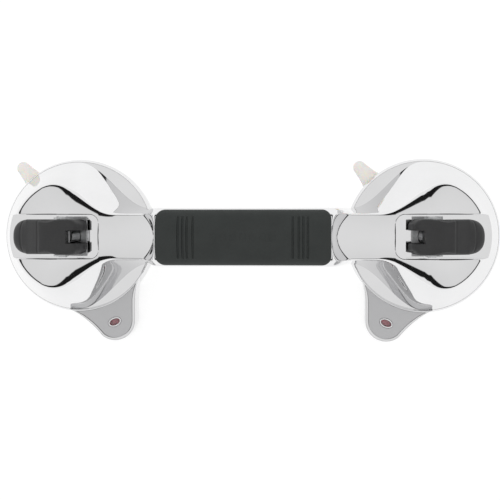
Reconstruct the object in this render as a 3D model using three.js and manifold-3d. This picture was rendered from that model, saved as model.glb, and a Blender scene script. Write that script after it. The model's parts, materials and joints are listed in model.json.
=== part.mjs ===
// A suction grab bar: a hollow plated handle on two rubber suction cups. A cam lever over each cup
// lifts the middle of the rubber and locks flat, and a flag in each base's ear shows the vacuum.
// Millimetres. +X runs along the bar, +Z points away from the wall, and z = 0 is the wall.
// Each cup is modelled in its own frame, whose +X points at the middle of the bar.
import * as THREE from "three";
import { ParametricGeometry } from "three/addons/geometries/ParametricGeometry.js";
import { mergeVertices } from "three/addons/utils/BufferGeometryUtils.js";
import Module from "manifold-3d";

const wasm = await Module();
wasm.setup();

// ---------------------------------------------------------------- driving dimensions
const gap = 0.3; // between two pieces that touch
const slack = 0.4; // round a piece that slides or turns

const cupSpacing = 211;
const discRadius = 47;
const wall = 2;

const barHalfWidth = 16.6;
const barTop = 64;
const barUnderside = 39;
const partingHeight = 50;
const barRoundness = 2.6; // exponent of the superellipse that the bar's section follows

const gripHalfWidth = 15.4;
const gripThickness = 2;
const gripProud = 0.8;
const gripCorner = 5;
const grooveWidth = 1.1;
const grooveDepth = 0.6;
const grooveHalfSpan = 11.7;
const grooveInsets = [12.7, 15.2, 17.6, 20.9]; // from the grip's ends

const plateauRadius = discRadius - 14;
const plateauEdge = 31;
const crownHeight = 43;
const neckHalfWidth = 13.2;
const neckStart = -14; // the plateau starts to narrow here, before the cup's axis
const neckReach = 30;
const neckCrown = 48.5;
const neckEdge = 43;
const footHalfWidth = 17;
const footReach = discRadius - 3;
const climb = 16.4; // length over which a leg rises from its foot to the bar
const flare = 0.06;

const rimBottom = 3.4;
const discPlate = 3;
const discTop = 11.5;
const rimWall = 2;

const pinHeight = 43;
const pinRadius = 2.5;
const camRadius = 16;
const stemStroke = 3;
const leverLift = Math.PI / 2;
const leverHalfWidth = 10;
const leverTip = 31;
const leverCrown = 55.5;
const seatThickness = 0.8;

const stemRadius = 5.5;
const tongueHalf = 3.3;
const footRadius = 10;
const springWire = 0.6;

const clipThickness = 0.8;
const pinHalfLength = leverHalfWidth + clipThickness + 3 * gap;
const slotHalfWidth = pinHalfLength + 1.05;
const slotInnerEnd = camRadius + 4.4;
const slotCorner = 6;
const slotWall = 1.8;
const shelfDrop = 5; // from the pin down to the shelf at the slot's inner end
const shelfWidth = 5.8;

const lipInner = discRadius - 10;
const cupLip = 3.2;
const cupRise = 3.8;
const tabAngle = (132 * Math.PI) / 180;
const tabReach = discRadius + 14;

const earTipRadius = 12.7;
const earTipAngle = (-66.1193 * Math.PI) / 180;
const earTipReach = discRadius + 9.3213;
const earTip = new THREE.Vector2(earTipReach, 0).rotateAround(new THREE.Vector2(), earTipAngle);
const earTop = 15.2;
const earBevel = 1.3;
const earMargin = 1.6;
const facePlate = 0.8;
const windowRadius = discRadius + 10.4; // from the cup's axis to the window
const windowAngle = (-66.6 * Math.PI) / 180;
const windowHalf = new THREE.Vector2(3.2, 1.8);
const flagTravel = 3.8;
const flagLength = 3.6;

const screwRadius = 1.6;
const screwHead = 3.1;
const screwHeadHeight = 1.6;
const baseScrewCircle = discRadius - 13;
const baseScrewAngles = [70, 125, -70, -125].map((degrees) => (degrees * Math.PI) / 180);
const barScrewInsets = [4.1, 28.1]; // from the grip's ends

// ---------------------------------------------------------------- sizes that follow
const halfSpacing = cupSpacing / 2;
const barStart = footReach - 3 + climb; // where the neck has become the bar
const gripLength = cupSpacing - 2 * barStart;
const barScrewPlaces = [-1, 1].flatMap((side) => barScrewInsets.map((inset) => side * (gripLength / 2 - inset)));
const legStart = footReach + 0.5; // where the back shell begins, closing the leg below the neck
const rimHeight = discTop + gap; // lower edge of the handle, resting on the discs
const skirtRadius = discRadius - rimWall;
const camDrop = stemStroke / leverLift; // how fast the cam's radius falls, mm per radian
const seatTop = pinHeight - camRadius - gap;
const floorTop = seatTop - seatThickness - gap;
const floorBottom = floorTop - wall;
const hubTop = floorBottom - gap;
const guideRadius = stemRadius + slack;
const springMean = stemRadius + springWire + slack;
const springBore = springMean + springWire + slack;
const bossSocket = cupRise + 3;
const footTop = bossSocket + gap + 1.6;
const bossTop = footTop + 1.6;
const bossRadius = footRadius + 2.6;
const wellRadius = bossRadius + 2 * slack;
const wellRoof = bossTop + 2.2;
const springTop = wellRoof + 7;
const collarTop = bossTop + gap + 1.2;
const earRoot = discRadius - 1.8;
const recessFloor = earTop - gap - facePlate - 0.2;
const roofBottom = recessFloor - 1.4;
const screwHole = screwRadius + gap;
const depthShift = (earTipRadius - earTip.y - discRadius) / 2; // centres the part front to back

// Sides of a round shape: discs and cups, rods and bosses, holes and shanks.
const manySides = 24;
const someSides = 12;
const fewSides = 8;

// ---------------------------------------------------------------- helpers
const mix = (a, b, t) => a + (b - a) * t;
const clamp = (t) => Math.min(1, Math.max(0, t));
const ease = (t) => 0.5 - 0.5 * Math.cos(Math.PI * clamp(t));

// A closed geometry as a solid for joining and cutting, with its faces turned outwards.
function solid(geometry) {
  const bare = geometry.index ? geometry.toNonIndexed() : geometry.clone();
  bare.deleteAttribute("normal");
  bare.deleteAttribute("uv");
  const merged = mergeVertices(bare, 1e-4);
  const corners = merged.index.array;
  const kept = [];
  for (let i = 0; i < corners.length; i += 3) {
    const [a, b, c] = corners.slice(i, i + 3);
    if (a !== b && b !== c && c !== a) kept.push(a, b, c);
  }
  const points = merged.attributes.position.array;
  const build = (triVerts) =>
    new wasm.Manifold(new wasm.Mesh({ numProp: 3, vertProperties: points, triVerts }));
  const made = build(new Uint32Array(kept));
  return made.volume() < 0 ? build(new Uint32Array(kept).reverse()) : made;
}

const join = (first, ...others) => others.reduce((sum, next) => sum.add(next), first);
const cut = (first, ...others) => others.reduce((rest, next) => rest.subtract(next), first);

function geometryOf(made) {
  const mesh = made.getMesh();
  const geometry = new THREE.BufferGeometry();
  geometry.setAttribute("position", new THREE.BufferAttribute(mesh.vertProperties, 3));
  geometry.setIndex(new THREE.BufferAttribute(mesh.triVerts, 1));
  geometry.computeVertexNormals();
  return geometry;
}

// A round bar standing on z = bottom.
function rod(radius, bottom, top, x = 0, y = 0, sides = someSides) {
  const bar = new THREE.CylinderGeometry(radius, radius, top - bottom, sides);
  return solid(bar.rotateX(Math.PI / 2).translate(x, y, (bottom + top) / 2));
}

// A round bar lying along Y, its middle at y = 0.
function crossRod(radius, halfLength, x, z, sides = someSides) {
  const bar = new THREE.CylinderGeometry(radius, radius, 2 * halfLength, sides);
  return solid(bar.translate(x, 0, z));
}

function block(x0, x1, y0, y1, z0, z1) {
  const box = new THREE.BoxGeometry(x1 - x0, y1 - y0, z1 - z0);
  return solid(box.translate((x0 + x1) / 2, (y0 + y1) / 2, (z0 + z1) / 2));
}

// A flat outline made thick from z = bottom to z = top.
function slab(shape, bottom, top, segments = 8) {
  const options = { depth: top - bottom, curveSegments: segments, bevelEnabled: false };
  return solid(new THREE.ExtrudeGeometry(shape, options).translate(0, 0, bottom));
}

// A side view in (x, z) made wide from y = -half to y = half.
function sideView(shape, half, segments = 8) {
  const options = { depth: 2 * half, bevelEnabled: false, curveSegments: segments };
  return solid(new THREE.ExtrudeGeometry(shape, options).rotateX(Math.PI / 2).translate(0, half, 0));
}

// A closed profile of [radius, height] points turned about the cup's axis.
function turned(profile, sides = manySides) {
  const points = profile.map(([radius, height]) => new THREE.Vector2(radius, height));
  return solid(new THREE.LatheGeometry(points, sides).rotateX(Math.PI / 2));
}

function ellipse(halfX, halfY) {
  const shape = new THREE.Shape();
  shape.absellipse(0, 0, halfX, halfY, 0, 2 * Math.PI);
  return shape;
}

// Puts a solid that was made round the origin at the window, its X along the cup's tangent and its -Y
// outwards.
function atWindow(made) {
  const place = new THREE.Matrix4().makeRotationZ(windowAngle + Math.PI / 2);
  place.setPosition(windowRadius * Math.cos(windowAngle), windowRadius * Math.sin(windowAngle), 0);
  return made.transform(place.elements);
}

class Helix extends THREE.Curve {
  constructor(radius, bottom, top, turns) {
    super();
    Object.assign(this, { radius, bottom, top, turns });
  }
  getPoint(t, target = new THREE.Vector3()) {
    const angle = 2 * Math.PI * this.turns * t;
    const height = mix(this.bottom, this.top, t);
    return target.set(this.radius * Math.cos(angle), this.radius * Math.sin(angle), height);
  }
}

function spring(radius, wire, bottom, top, turns) {
  const section = new THREE.Shape().absarc(0, 0, wire, 0, 2 * Math.PI);
  const path = new Helix(radius, bottom + wire, top - wire, turns);
  const options = { extrudePath: path, steps: 9 * turns, curveSegments: 2, bevelEnabled: false };
  return solid(new THREE.ExtrudeGeometry(section, options));
}

// A screw with its head at the bottom and a driving slot in the head.
function screw(x, y, bottom, length) {
  const head = rod(screwHead, bottom, bottom + screwHeadHeight, x, y);
  const shank = rod(screwRadius, bottom, bottom + length, x, y, fewSides);
  const across = screwHead - 1;
  const slot = block(x - across, x + across, y - 0.4, y + 0.4, bottom - 1, bottom + 0.9);
  return cut(join(head, shank), slot);
}

// ---------------------------------------------------------------- materials
const finish = (color, roughness, metalness) => ({ color, roughness, metalness });
const finishes = {
  chrome: finish(0xd9dadb, 0.06, 1),
  grip: finish(0x2f3332, 0.75, 0),
  lever: finish(0x3a3a3b, 0.5, 0),
  rubber: finish(0xe9ebe6, 0.45, 0),
  steel: finish(0xa9acb0, 0.3, 1),
  silver: finish(0xb9babb, 0.4, 0.6),
  clear: finish(0xdfe6ea, 0.05, 0),
  red: finish(0xa3122f, 0.5, 0),
  green: finish(0x1f8f4a, 0.5, 0),
  dark: finish(0x4a4c4e, 0.6, 0),
};

function piece(name, made, look) {
  const mesh = new THREE.Mesh(geometryOf(made), new THREE.MeshStandardMaterial(finishes[look]));
  mesh.name = name;
  return mesh;
}

// ---------------------------------------------------------------- the handle's outside
// A section of the handle at a distance `along` from a cup's axis, which is negative on the fan of
// sections round its outer half. v runs from 0 on the centre line over the plateau's edge at 0.5 to
// the rim at 1. `inset` moves the surface inwards by that much.
function housingPoint(along, v, inset) {
  const drawnIn = ease((along - neckStart) / (neckReach - neckStart));
  const plateau = mix(plateauRadius, neckHalfWidth, drawnIn) - inset;
  const skirt = mix(skirtRadius, footHalfWidth, ease(along / footReach)) - inset;
  const crown = mix(crownHeight, neckCrown, ease(along / barStart)) - inset;
  const edge = mix(plateauEdge, neckEdge, ease(along / barStart)) - inset;
  if (v <= 0.5) {
    const across = v / 0.5;
    return [plateau * across, mix(crown, edge, across * across)];
  }
  const down = (v - 0.5) / 0.5;
  return [mix(plateau, skirt, down), mix(edge, rimHeight, down - flare * Math.sin(2 * Math.PI * down))];
}

// The bar's section is the upper half of a superellipse.
function barPoint(v, inset) {
  const angle = (Math.PI / 2) * (1 - v);
  const across = Math.abs(Math.cos(angle)) ** (2 / barRoundness);
  const up = Math.abs(Math.sin(angle)) ** (2 / barRoundness);
  return [(barHalfWidth - inset) * across, partingHeight + (barTop - partingHeight - inset) * up];
}

// The neck climbs to the bar late on its centre line, and earlier towards the rim.
function handlePoint(along, v, inset = 0) {
  const late = barStart - 4;
  const shoulder = barStart - 12.4;
  const foot = discRadius - 6;
  const start = v <= 0.5 ? mix(late, shoulder, (v / 0.5) ** 2) : mix(shoulder, foot, v / 0.5 - 1);
  const risen = ease((along - inset - start) / (barStart - start));
  const [y0, z0] = housingPoint(along, v, inset);
  const [y1, z1] = barPoint(v, inset);
  return [mix(y0, y1, risen), mix(z0, z1, risen)];
}

// Underside of the legs and the bar, from the centre line at v = 0 to the rim at v = 1.
function undersidePoint(along, v, inset = 0) {
  const [rimY, rimZ] = handlePoint(along, 1);
  const risen = ease((along + inset - (discRadius - 1)) / (climb - 1));
  const low = mix(rimHeight, barUnderside, risen) + inset;
  const angle = (Math.PI / 2) * v;
  const across = Math.abs(Math.sin(angle)) ** (2 / barRoundness);
  const down = Math.abs(Math.cos(angle)) ** (2 / barRoundness);
  return [(rimY - inset) * across, rimZ - Math.max(0, rimZ - low) * down];
}

// Where the sections stand: a fan of ribs round each cup's axis, and straight sections between.
function stationsFrom(first, fan) {
  const turns = Array.from({ length: fan }, (_, i) => (Math.PI / 2) * (1 - i / fan));
  const neck = [0.17, 0.34, 0.5, 0.66, 0.82].map((share) => legStart * share);
  const leg = [0, 0.2, 0.4, 0.55, 0.7, 0.85, 1].map((share) => mix(legStart, barStart, share));
  const alongs = [...neck, ...leg, barStart + 6].filter((along) => along > first);
  const half = [
    ...turns.map((turn) => ({ along: first - turn * plateauRadius, turn, side: -1 })),
    ...[first, ...alongs].map((along) => ({ along, turn: 0, side: -1 })),
  ];
  const other = half.map((station) => ({ ...station, side: 1 })).reverse();
  return [...half, ...other];
}

// A closed solid through rings of points. Each ring runs over `upper` from the rim on +Y to the rim
// on -Y, and back along `lower`. Where a station is turned, both halves of its ring swing outwards
// round the cup's axis, so that the last one folds shut.
function lofted(stations, upper, lower, upperSteps, lowerSteps) {
  const rings = stations.length + 2;
  const around = upperSteps + lowerSteps;
  const point = (u, v, target) => {
    const ring = Math.round(u * (rings - 1));
    const step = Math.round(v * around) % around;
    const station = stations[Math.min(stations.length - 1, Math.max(0, ring - 1))];
    const onTop = step <= upperSteps;
    const run = onTop ? 1 - (2 * step) / upperSteps : (2 * (step - upperSteps)) / lowerSteps - 1;
    let [y, z] = (onTop ? upper : lower)(station.along, Math.abs(run));
    if ((ring === 0 || ring === rings - 1) && station.turn === 0) {
      [y, z] = [0, (upper(station.along, 0)[1] + lower(station.along, 0)[1]) / 2];
    }
    const outwards = y * Math.sin(station.turn) - (station.turn > 0 ? 0 : station.along);
    const x = station.side * (halfSpacing + outwards);
    target.set(x, Math.sign(run) * y * Math.cos(station.turn), z);
  };
  return solid(new ParametricGeometry(point, rings - 1, around));
}

// The curve's rim points joined by a straight line, lowered by `drop`.
const chord = (curve, drop) => (along, v) => {
  const [y, z] = curve(along, 1);
  return [y * v, z - drop];
};

const dome = (inset) => (along, v) => handlePoint(along, v, inset);
const belly = (inset) => (along, v) => undersidePoint(along, v, inset);

// ---------------------------------------------------------------- handle shells and grip
// The cut for a lever in the top of its housing. It runs out through the flank at its outer end.
function slotOutline(margin) {
  const half = slotHalfWidth + margin;
  const end = slotInnerEnd + margin;
  const corner = slotCorner + margin;
  const shape = new THREE.Shape();
  shape.moveTo(-discRadius - 5, -half);
  shape.lineTo(end - corner, -half);
  shape.absarc(end - corner, -half + corner, corner, -Math.PI / 2, 0);
  shape.absarc(end - corner, half - corner, corner, 0, Math.PI / 2);
  shape.lineTo(-discRadius - 5, half);
  return shape;
}

const baseScrewSpots = baseScrewAngles.map((angle) => [
  baseScrewCircle * Math.cos(angle),
  baseScrewCircle * Math.sin(angle),
]);

// Moves a solid from a cup's own frame to the left (-1) or the right (1) cup's place.
function atCup(made, side) {
  const place = new THREE.Matrix4().makeScale(-side, 1, 1);
  place.setPosition(side * halfSpacing, 0, 0);
  return made.transform(place.elements);
}

const barScrewHeadBottom = barUnderside + gap;
const barScrewSeat = barScrewHeadBottom + screwHeadHeight + gap;
const barBossBottom = barScrewSeat + wall + gap;
const barScrewLength = 14;
const baseScrewLength = 10;
const baseScrewBottom = discTop - discPlate - 1;
const farUp = 2 * barTop;

// A section between two offsets of the bar's top curve, as wide as `half` each side.
function barBand(inner, outer, half) {
  const steps = 8;
  const edge = (inset) => {
    const points = [];
    for (let i = -steps; i <= steps; i++) {
      const [y, z] = barPoint(Math.abs(i) / steps, inset);
      points.push(new THREE.Vector2(Math.sign(i) * y, z));
    }
    return points;
  };
  const shape = new THREE.Shape([...edge(outer), ...edge(inner).reverse()]);
  return { shape, half };
}

// A band of the bar's section, made long from x0 to x1 and trimmed to its width.
function bandAlong({ shape, half }, x0, x1) {
  const options = { depth: x1 - x0, bevelEnabled: false };
  const geometry = new THREE.ExtrudeGeometry(shape, options);
  const turn = new THREE.Matrix4().makeBasis(
    new THREE.Vector3(0, 1, 0),
    new THREE.Vector3(0, 0, 1),
    new THREE.Vector3(1, 0, 0),
  );
  const band = solid(geometry.applyMatrix4(turn).translate(x0, 0, 0));
  return band.intersect(block(x0 - 1, x1 + 1, -half, half, partingHeight + 1, farUp));
}

function roundedRectangle(halfX, halfY, corner) {
  const shape = new THREE.Shape();
  shape.absarc(halfX - corner, halfY - corner, corner, 0, Math.PI / 2);
  shape.absarc(corner - halfX, halfY - corner, corner, Math.PI / 2, Math.PI);
  shape.absarc(corner - halfX, corner - halfY, corner, Math.PI, 1.5 * Math.PI);
  shape.absarc(halfX - corner, corner - halfY, corner, 1.5 * Math.PI, 2 * Math.PI);
  return shape;
}

function gripPad() {
  const band = bandAlong(
    barBand(gripThickness - gripProud, -gripProud, gripHalfWidth),
    -gripLength / 2,
    gripLength / 2,
  );
  const plan = roundedRectangle(gripLength / 2, gripHalfWidth + 0.5, gripCorner);
  const pad = band.intersect(slab(plan, partingHeight, farUp, 6));
  const above = barBand(grooveDepth - gripProud, -gripProud - 2, grooveHalfSpan);
  const grooves = grooveInsets.flatMap((inset) => {
    const offset = gripLength / 2 - inset;
    return [-offset, offset].map((x) => bandAlong(above, x - grooveWidth / 2, x + grooveWidth / 2));
  });
  return cut(pad, ...grooves);
}

function gripSeat() {
  const half = gripLength / 2 + gap;
  const band = bandAlong(barBand(gripThickness - gripProud + gap, -4, gripHalfWidth + gap), -half, half);
  const plan = roundedRectangle(half, gripHalfWidth + 0.5 + gap, gripCorner + gap);
  return band.intersect(slab(plan, partingHeight, farUp, 6));
}

function handleFrontShell() {
  const stations = stationsFrom(0, 7);
  const outside = lofted(stations, dome(0), chord(dome(0), 0), 8, 2);
  const cavity = lofted(stations, dome(wall), chord(dome(wall), 3), 8, 2);
  let shell = cut(outside, cavity);
  for (const side of [-1, 1]) {
    const tub = atCup(slab(slotOutline(slotWall), floorBottom, farUp), side);
    const bosses = baseScrewSpots.map(([x, y]) => atCup(rod(screwHead, rimHeight, farUp, x, y), side));
    shell = join(shell, ...[tub, ...bosses].map((added) => added.intersect(outside)));
  }
  const barBosses = barScrewPlaces.map((x) => rod(screwHead, barBossBottom, farUp, x));
  shell = join(shell, ...barBosses.map((added) => added.intersect(outside)));
  for (const side of [-1, 1]) {
    const shelfStart = slotInnerEnd - shelfWidth;
    const shelf = block(shelfStart, farUp, -discRadius, discRadius, floorBottom, pinHeight - shelfDrop);
    const slot = atCup(cut(slab(slotOutline(0), floorTop, farUp), shelf), side);
    const rib = atCup(block(-plateauRadius - 2, -leverTip / 2, -1.4, 1.4, floorTop - gap, floorTop + 1.1), side);
    const holes = baseScrewSpots.map(([x, y]) =>
      atCup(rod(screwHole, rimHeight - 1, baseScrewBottom + baseScrewLength + gap, x, y, fewSides), side),
    );
    shell = cut(join(cut(shell, slot), rib), atCup(rod(guideRadius, 0, farUp), side), ...holes);
  }
  const barHoles = barScrewPlaces.map((x) =>
    rod(screwHole, barUnderside, barScrewHeadBottom + barScrewLength + gap, x, 0, fewSides),
  );
  return cut(shell, gripSeat(), ...barHoles);
}

function handleBackShell() {
  const stations = stationsFrom(legStart, 0);
  const inner = stationsFrom(legStart + wall, 0);
  const rim = (along, v) => handlePoint(along, v);
  const inside = (along, v) => undersidePoint(along, v, wall);
  const outside = lofted(stations, chord(rim, gap), belly(0), 2, 6);
  const cavity = lofted(inner, chord(inside, -3), belly(wall), 2, 6);
  const pads = barScrewPlaces.map((x) => rod(screwHead + 2, 0, barBossBottom - gap, x).intersect(outside));
  const seats = barScrewPlaces.map((x) => rod(screwHead + gap, 0, barScrewSeat, x));
  const holes = barScrewPlaces.map((x) => rod(screwHole, 0, farUp, x, 0, fewSides));
  return cut(join(cut(outside, cavity), ...pads), ...seats, ...holes);
}

// ---------------------------------------------------------------- base and ear
// The ear seen from above, `inset` inside its edge: a round tip, a straight inner side and a slanted
// outer side that both flare into the disc, and an arc about the cup's axis where it meets the disc.
function earSlab(inset, bottom, top) {
  const root = earRoot + inset / 2;
  const tip = earTipRadius - inset;
  const onRoot = (degrees) =>
    new THREE.Vector2(root, 0).rotateAround(new THREE.Vector2(), (degrees * Math.PI) / 180);
  const innerEnd = onRoot(-20 - 10 * inset);
  const outerEnd = onRoot(-97 + 3 * inset);
  const leaveAngle = (-128 * Math.PI) / 180;
  const leave = new THREE.Vector2(tip, 0).rotateAround(new THREE.Vector2(), leaveAngle).add(earTip);
  const side = earTip.x + tip;
  const straight = earTip.y + earTipRadius;
  const shape = new THREE.Shape();
  shape.moveTo(outerEnd.x, outerEnd.y);
  shape.quadraticCurveTo(mix(outerEnd.x, leave.x, 0.55), mix(outerEnd.y, leave.y, 0.32), leave.x, leave.y);
  shape.absarc(earTip.x, earTip.y, tip, leaveAngle, 0);
  shape.lineTo(side, straight);
  shape.quadraticCurveTo(side + 0.4, mix(straight, innerEnd.y, 0.5), innerEnd.x, innerEnd.y);
  shape.lineTo(0, 0);
  return cut(slab(shape, bottom, top, 6), rod(root, bottom - 1, top + 1, 0, 0, manySides));
}

const coverRecess = rimBottom + 2.1;
const coverScrewSpot = [earTip.x + 7.7, earTip.y + 8];
const coverScrewBottom = rimBottom + 0.2;

// A box in the window's frame: `tangent` each side of the middle, radii from `near` to `far`.
function windowBlock(tangent, near, far, bottom, top) {
  return atWindow(block(-tangent, tangent, windowRadius - far, windowRadius - near, bottom, top));
}

const flagHalf = windowHalf.x + 1.4;
const channelEnd = earTip.length() + earTipRadius - 4;
const flagNear = windowRadius - flagTravel - flagLength / 2 - 0.6;
const flagFar = windowRadius + flagLength / 2 + 0.6;

function discProfile() {
  const plateBottom = discTop - discPlate;
  const hub = springBore + wall;
  return [
    [guideRadius, springTop],
    [springBore, springTop],
    [springBore, wellRoof],
    [wellRadius, wellRoof],
    [wellRadius, plateBottom],
    [skirtRadius, plateBottom],
    [skirtRadius, rimBottom],
    [discRadius, rimBottom],
    [discRadius, plateBottom],
    [discRadius - 0.6, plateBottom + 1.4],
    [skirtRadius + 0.2, discTop],
    [wellRadius + wall, discTop],
    [wellRadius + wall, wellRoof + wall],
    [hub, wellRoof + wall],
    [hub, hubTop],
    [guideRadius, hubTop],
    [guideRadius, springTop],
  ];
}

function baseDisc() {
  const ear = join(
    earSlab(0, rimBottom, earTop - earBevel),
    earSlab(earBevel, rimBottom, earTop),
  );
  const body = join(turned(discProfile()), ear);
  const recess = earSlab(earMargin, recessFloor, farUp);
  const coverSeat = earSlab(earMargin, 0, coverRecess);
  const channel = windowBlock(flagHalf + slack, flagNear - 1.8, channelEnd, rimBottom, roofBottom);
  const tailHole = windowBlock(1.5 + slack, skirtRadius - 1, flagNear, 5.6, 8.4);
  const opening = atWindow(slab(ellipse(windowHalf.x + 1.35, windowHalf.y + 1.1), 0, farUp));
  const screwHoles = baseScrewSpots.flatMap(([x, y]) => [
    rod(screwHole, 0, farUp, x, y, fewSides),
    rod(screwHead + gap, 0, baseScrewBottom + screwHeadHeight + gap, x, y),
  ]);
  const [coverX, coverY] = coverScrewSpot;
  const coverHole = rod(screwHole, 0, coverScrewBottom + 8.3, coverX, coverY, fewSides);
  return cut(body, recess, coverSeat, channel, tailHole, opening, coverHole, ...screwHoles);
}

function earFacePlate() {
  const plate = earSlab(earMargin + gap, recessFloor + gap, recessFloor + gap + facePlate);
  return cut(plate, atWindow(slab(ellipse(windowHalf.x + 1.35, windowHalf.y + 1.1), 0, farUp)));
}

function earBackCover() {
  const [x, y] = coverScrewSpot;
  const cover = earSlab(earMargin + gap, rimBottom, coverRecess - gap);
  const headRecess = coverScrewBottom + screwHeadHeight - 0.6;
  return cut(cover, rod(screwHole, 0, farUp, x, y, fewSides), rod(screwHead + gap, 0, headRecess, x, y));
}

// A low-headed screw that holds the ear's cover, its head sunk in the cover.
function earCoverScrew() {
  const [x, y] = coverScrewSpot;
  const thin = 0.7;
  const head = rod(screwHead, coverScrewBottom, coverScrewBottom + thin, x, y);
  return join(head, rod(screwRadius, coverScrewBottom, coverScrewBottom + 8, x, y, fewSides));
}

function indicatorBezel() {
  const ring = ellipse(windowHalf.x + 1.05, windowHalf.y + 0.8);
  const inside = slab(ellipse(windowHalf.x, windowHalf.y), 0, farUp);
  return atWindow(cut(slab(ring, roofBottom + gap, earTop + 0.2, 8), inside));
}

function indicatorWindow() {
  const lens = ellipse(windowHalf.x - gap, windowHalf.y - gap);
  return atWindow(slab(lens, roofBottom + gap, earTop - 0.5, 8));
}

const flagTop = roofBottom - gap;
const tileDepth = 0.5;

// The slider that carries the two flags, with a tail that reaches in to the rubber's edge.
function indicatorSlider() {
  const plate = windowBlock(flagHalf, flagNear, flagFar, flagTop - 2.4, flagTop);
  const leg = windowBlock(1.5, flagNear, flagNear + 2.2, 6, flagTop - 1);
  const tail = windowBlock(1.5, skirtRadius + 0.6, flagNear + 1, 6, 8);
  const pockets = [0, -flagTravel - 0.05].map((shift) => flagTile(shift, gap, 1));
  return cut(join(plate, leg, tail), ...pockets);
}

function flagTile(shift, margin, above = 0) {
  const tangent = flagHalf - 0.9 + margin;
  const half = flagLength / 2 - gap + margin * 0.5;
  const middle = windowRadius + shift;
  return windowBlock(tangent, middle - half, middle + half, flagTop - tileDepth - margin, flagTop + above);
}

function indicatorSpring() {
  const length = channelEnd - flagFar - 2 * gap;
  const coil = spring(1.1, 0.22, 0, length, 3);
  const middle = flagTop - 1.3;
  return atWindow(coil.rotate(90, 0, 0).translate(0, windowRadius - flagFar - gap, middle));
}

// ---------------------------------------------------------------- rubber cup and what works it
function cupProfile() {
  const edge = discRadius - 0.7;
  return [
    [0, cupRise],
    [footRadius, cupRise - 0.3],
    [lipInner - 3, 0.6],
    [lipInner, 0],
    [edge, 0],
    [edge + 0.2, 1],
    [edge, 2.4],
    [edge - 1.6, cupLip],
    [lipInner + 1, cupLip],
    [baseScrewCircle, cupLip + 0.5],
    [bossRadius + 2.4, cupLip + 2.6],
    [bossRadius, cupLip + 3.8],
    [bossRadius - 0.4, bossTop],
    [guideRadius, bossTop],
    [guideRadius, footTop + gap],
    [footRadius + gap, footTop + gap],
    [footRadius + gap, bossSocket],
    [0, bossSocket],
  ];
}

function suctionCup(angle) {
  const root = discRadius - 3;
  const shape = new THREE.Shape();
  shape.moveTo(root, -4.8);
  shape.lineTo(tabReach - 3.2, -3.2);
  shape.absarc(tabReach - 3.2, 0, 3.2, -Math.PI / 2, Math.PI / 2);
  shape.lineTo(root, 4.8);
  const tab = slab(shape, 0.5, 2.3).rotate(0, 0, (angle * 180) / Math.PI);
  return join(turned(cupProfile()), tab);
}

function pressureRing() {
  const outer = skirtRadius - gap;
  const inner = lipInner + 1.6;
  const bottom = cupLip + gap;
  const top = discTop - discPlate - gap;
  return turned([
    [inner, bottom],
    [outer - 0.4, bottom],
    [outer, top],
    [inner, top],
    [inner, bottom],
  ]);
}

// The stem's foot is moulded into the rubber. Its flat tongue carries the lever's pin.
function cupStem() {
  const body = turned(
    [
      [0, bossSocket + gap],
      [footRadius, bossSocket + gap],
      [footRadius, footTop],
      [stemRadius, footTop],
      [stemRadius, bossTop + gap],
      [springBore - slack, bossTop + gap],
      [springBore - slack, collarTop],
      [stemRadius, collarTop],
      [stemRadius, pinHeight],
      [0, pinHeight],
    ],
    20,
  );
  const eye = crossRod(stemRadius, tongueHalf, 0, pinHeight);
  const flatFrom = springTop + 1;
  const span = 2 * stemRadius;
  const sides = [1, -1].map((side) => {
    const [near, far] = [tongueHalf, span].map((reach) => side * reach);
    return block(-span, span, Math.min(near, far), Math.max(near, far), flatFrom, farUp);
  });
  return cut(join(body, eye), ...sides, crossRod(pinRadius + gap, span, 0, pinHeight));
}

function stemSpring() {
  return spring(springMean, springWire, collarTop + gap, springTop - gap, 4);
}

function camSeat() {
  const half = 9;
  const plate = block(-half, half, -slotHalfWidth + 1, slotHalfWidth - 1, seatTop - seatThickness, seatTop);
  return cut(plate, rod(guideRadius, 0, farUp));
}

// The cam's edge. Its distance from the pin, measured square to the edge, falls steadily as the lever
// is lifted, so the cam stays on its flat seat while the stem goes down by the same amount.
function camEdge() {
  const points = [];
  const [first, last, step] = [-30, 110, 10];
  for (let degrees = first; degrees <= last; degrees += step) {
    const phi = (degrees * Math.PI) / 180;
    const facing = phi - Math.PI / 2;
    const reach = camRadius - camDrop * phi;
    const x = reach * Math.cos(facing) + camDrop * Math.sin(facing);
    const z = pinHeight + reach * Math.sin(facing) - camDrop * Math.cos(facing);
    points.push(new THREE.Vector2(x, z));
  }
  return points;
}

function leverSide() {
  const cam = camEdge();
  const top = cam[cam.length - 1];
  const shape = new THREE.Shape();
  shape.moveTo(cam[0].x, cam[0].y);
  cam.slice(1).forEach((point) => shape.lineTo(point.x, point.y));
  shape.lineTo(top.x - 0.4, leverCrown - 5);
  shape.quadraticCurveTo(top.x - 1.2, leverCrown - 0.6, top.x - 6.4, leverCrown);
  shape.splineThru([
    new THREE.Vector2(0, leverCrown - 0.2),
    new THREE.Vector2(-0.3 * leverTip, leverCrown - 3.6),
    new THREE.Vector2(-0.65 * leverTip, leverCrown - 10.5),
    new THREE.Vector2(-leverTip, leverCrown - 16.5),
  ]);
  shape.lineTo(-leverTip, leverCrown - 20.5);
  shape.lineTo(2 - leverTip, leverCrown - 22);
  shape.quadraticCurveTo(-0.7 * leverTip, leverCrown - 22.5, -0.5 * leverTip, leverCrown - 20.6);
  shape.lineTo(cam[0].x - 1.5, leverCrown - 22.5);
  return shape;
}

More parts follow.
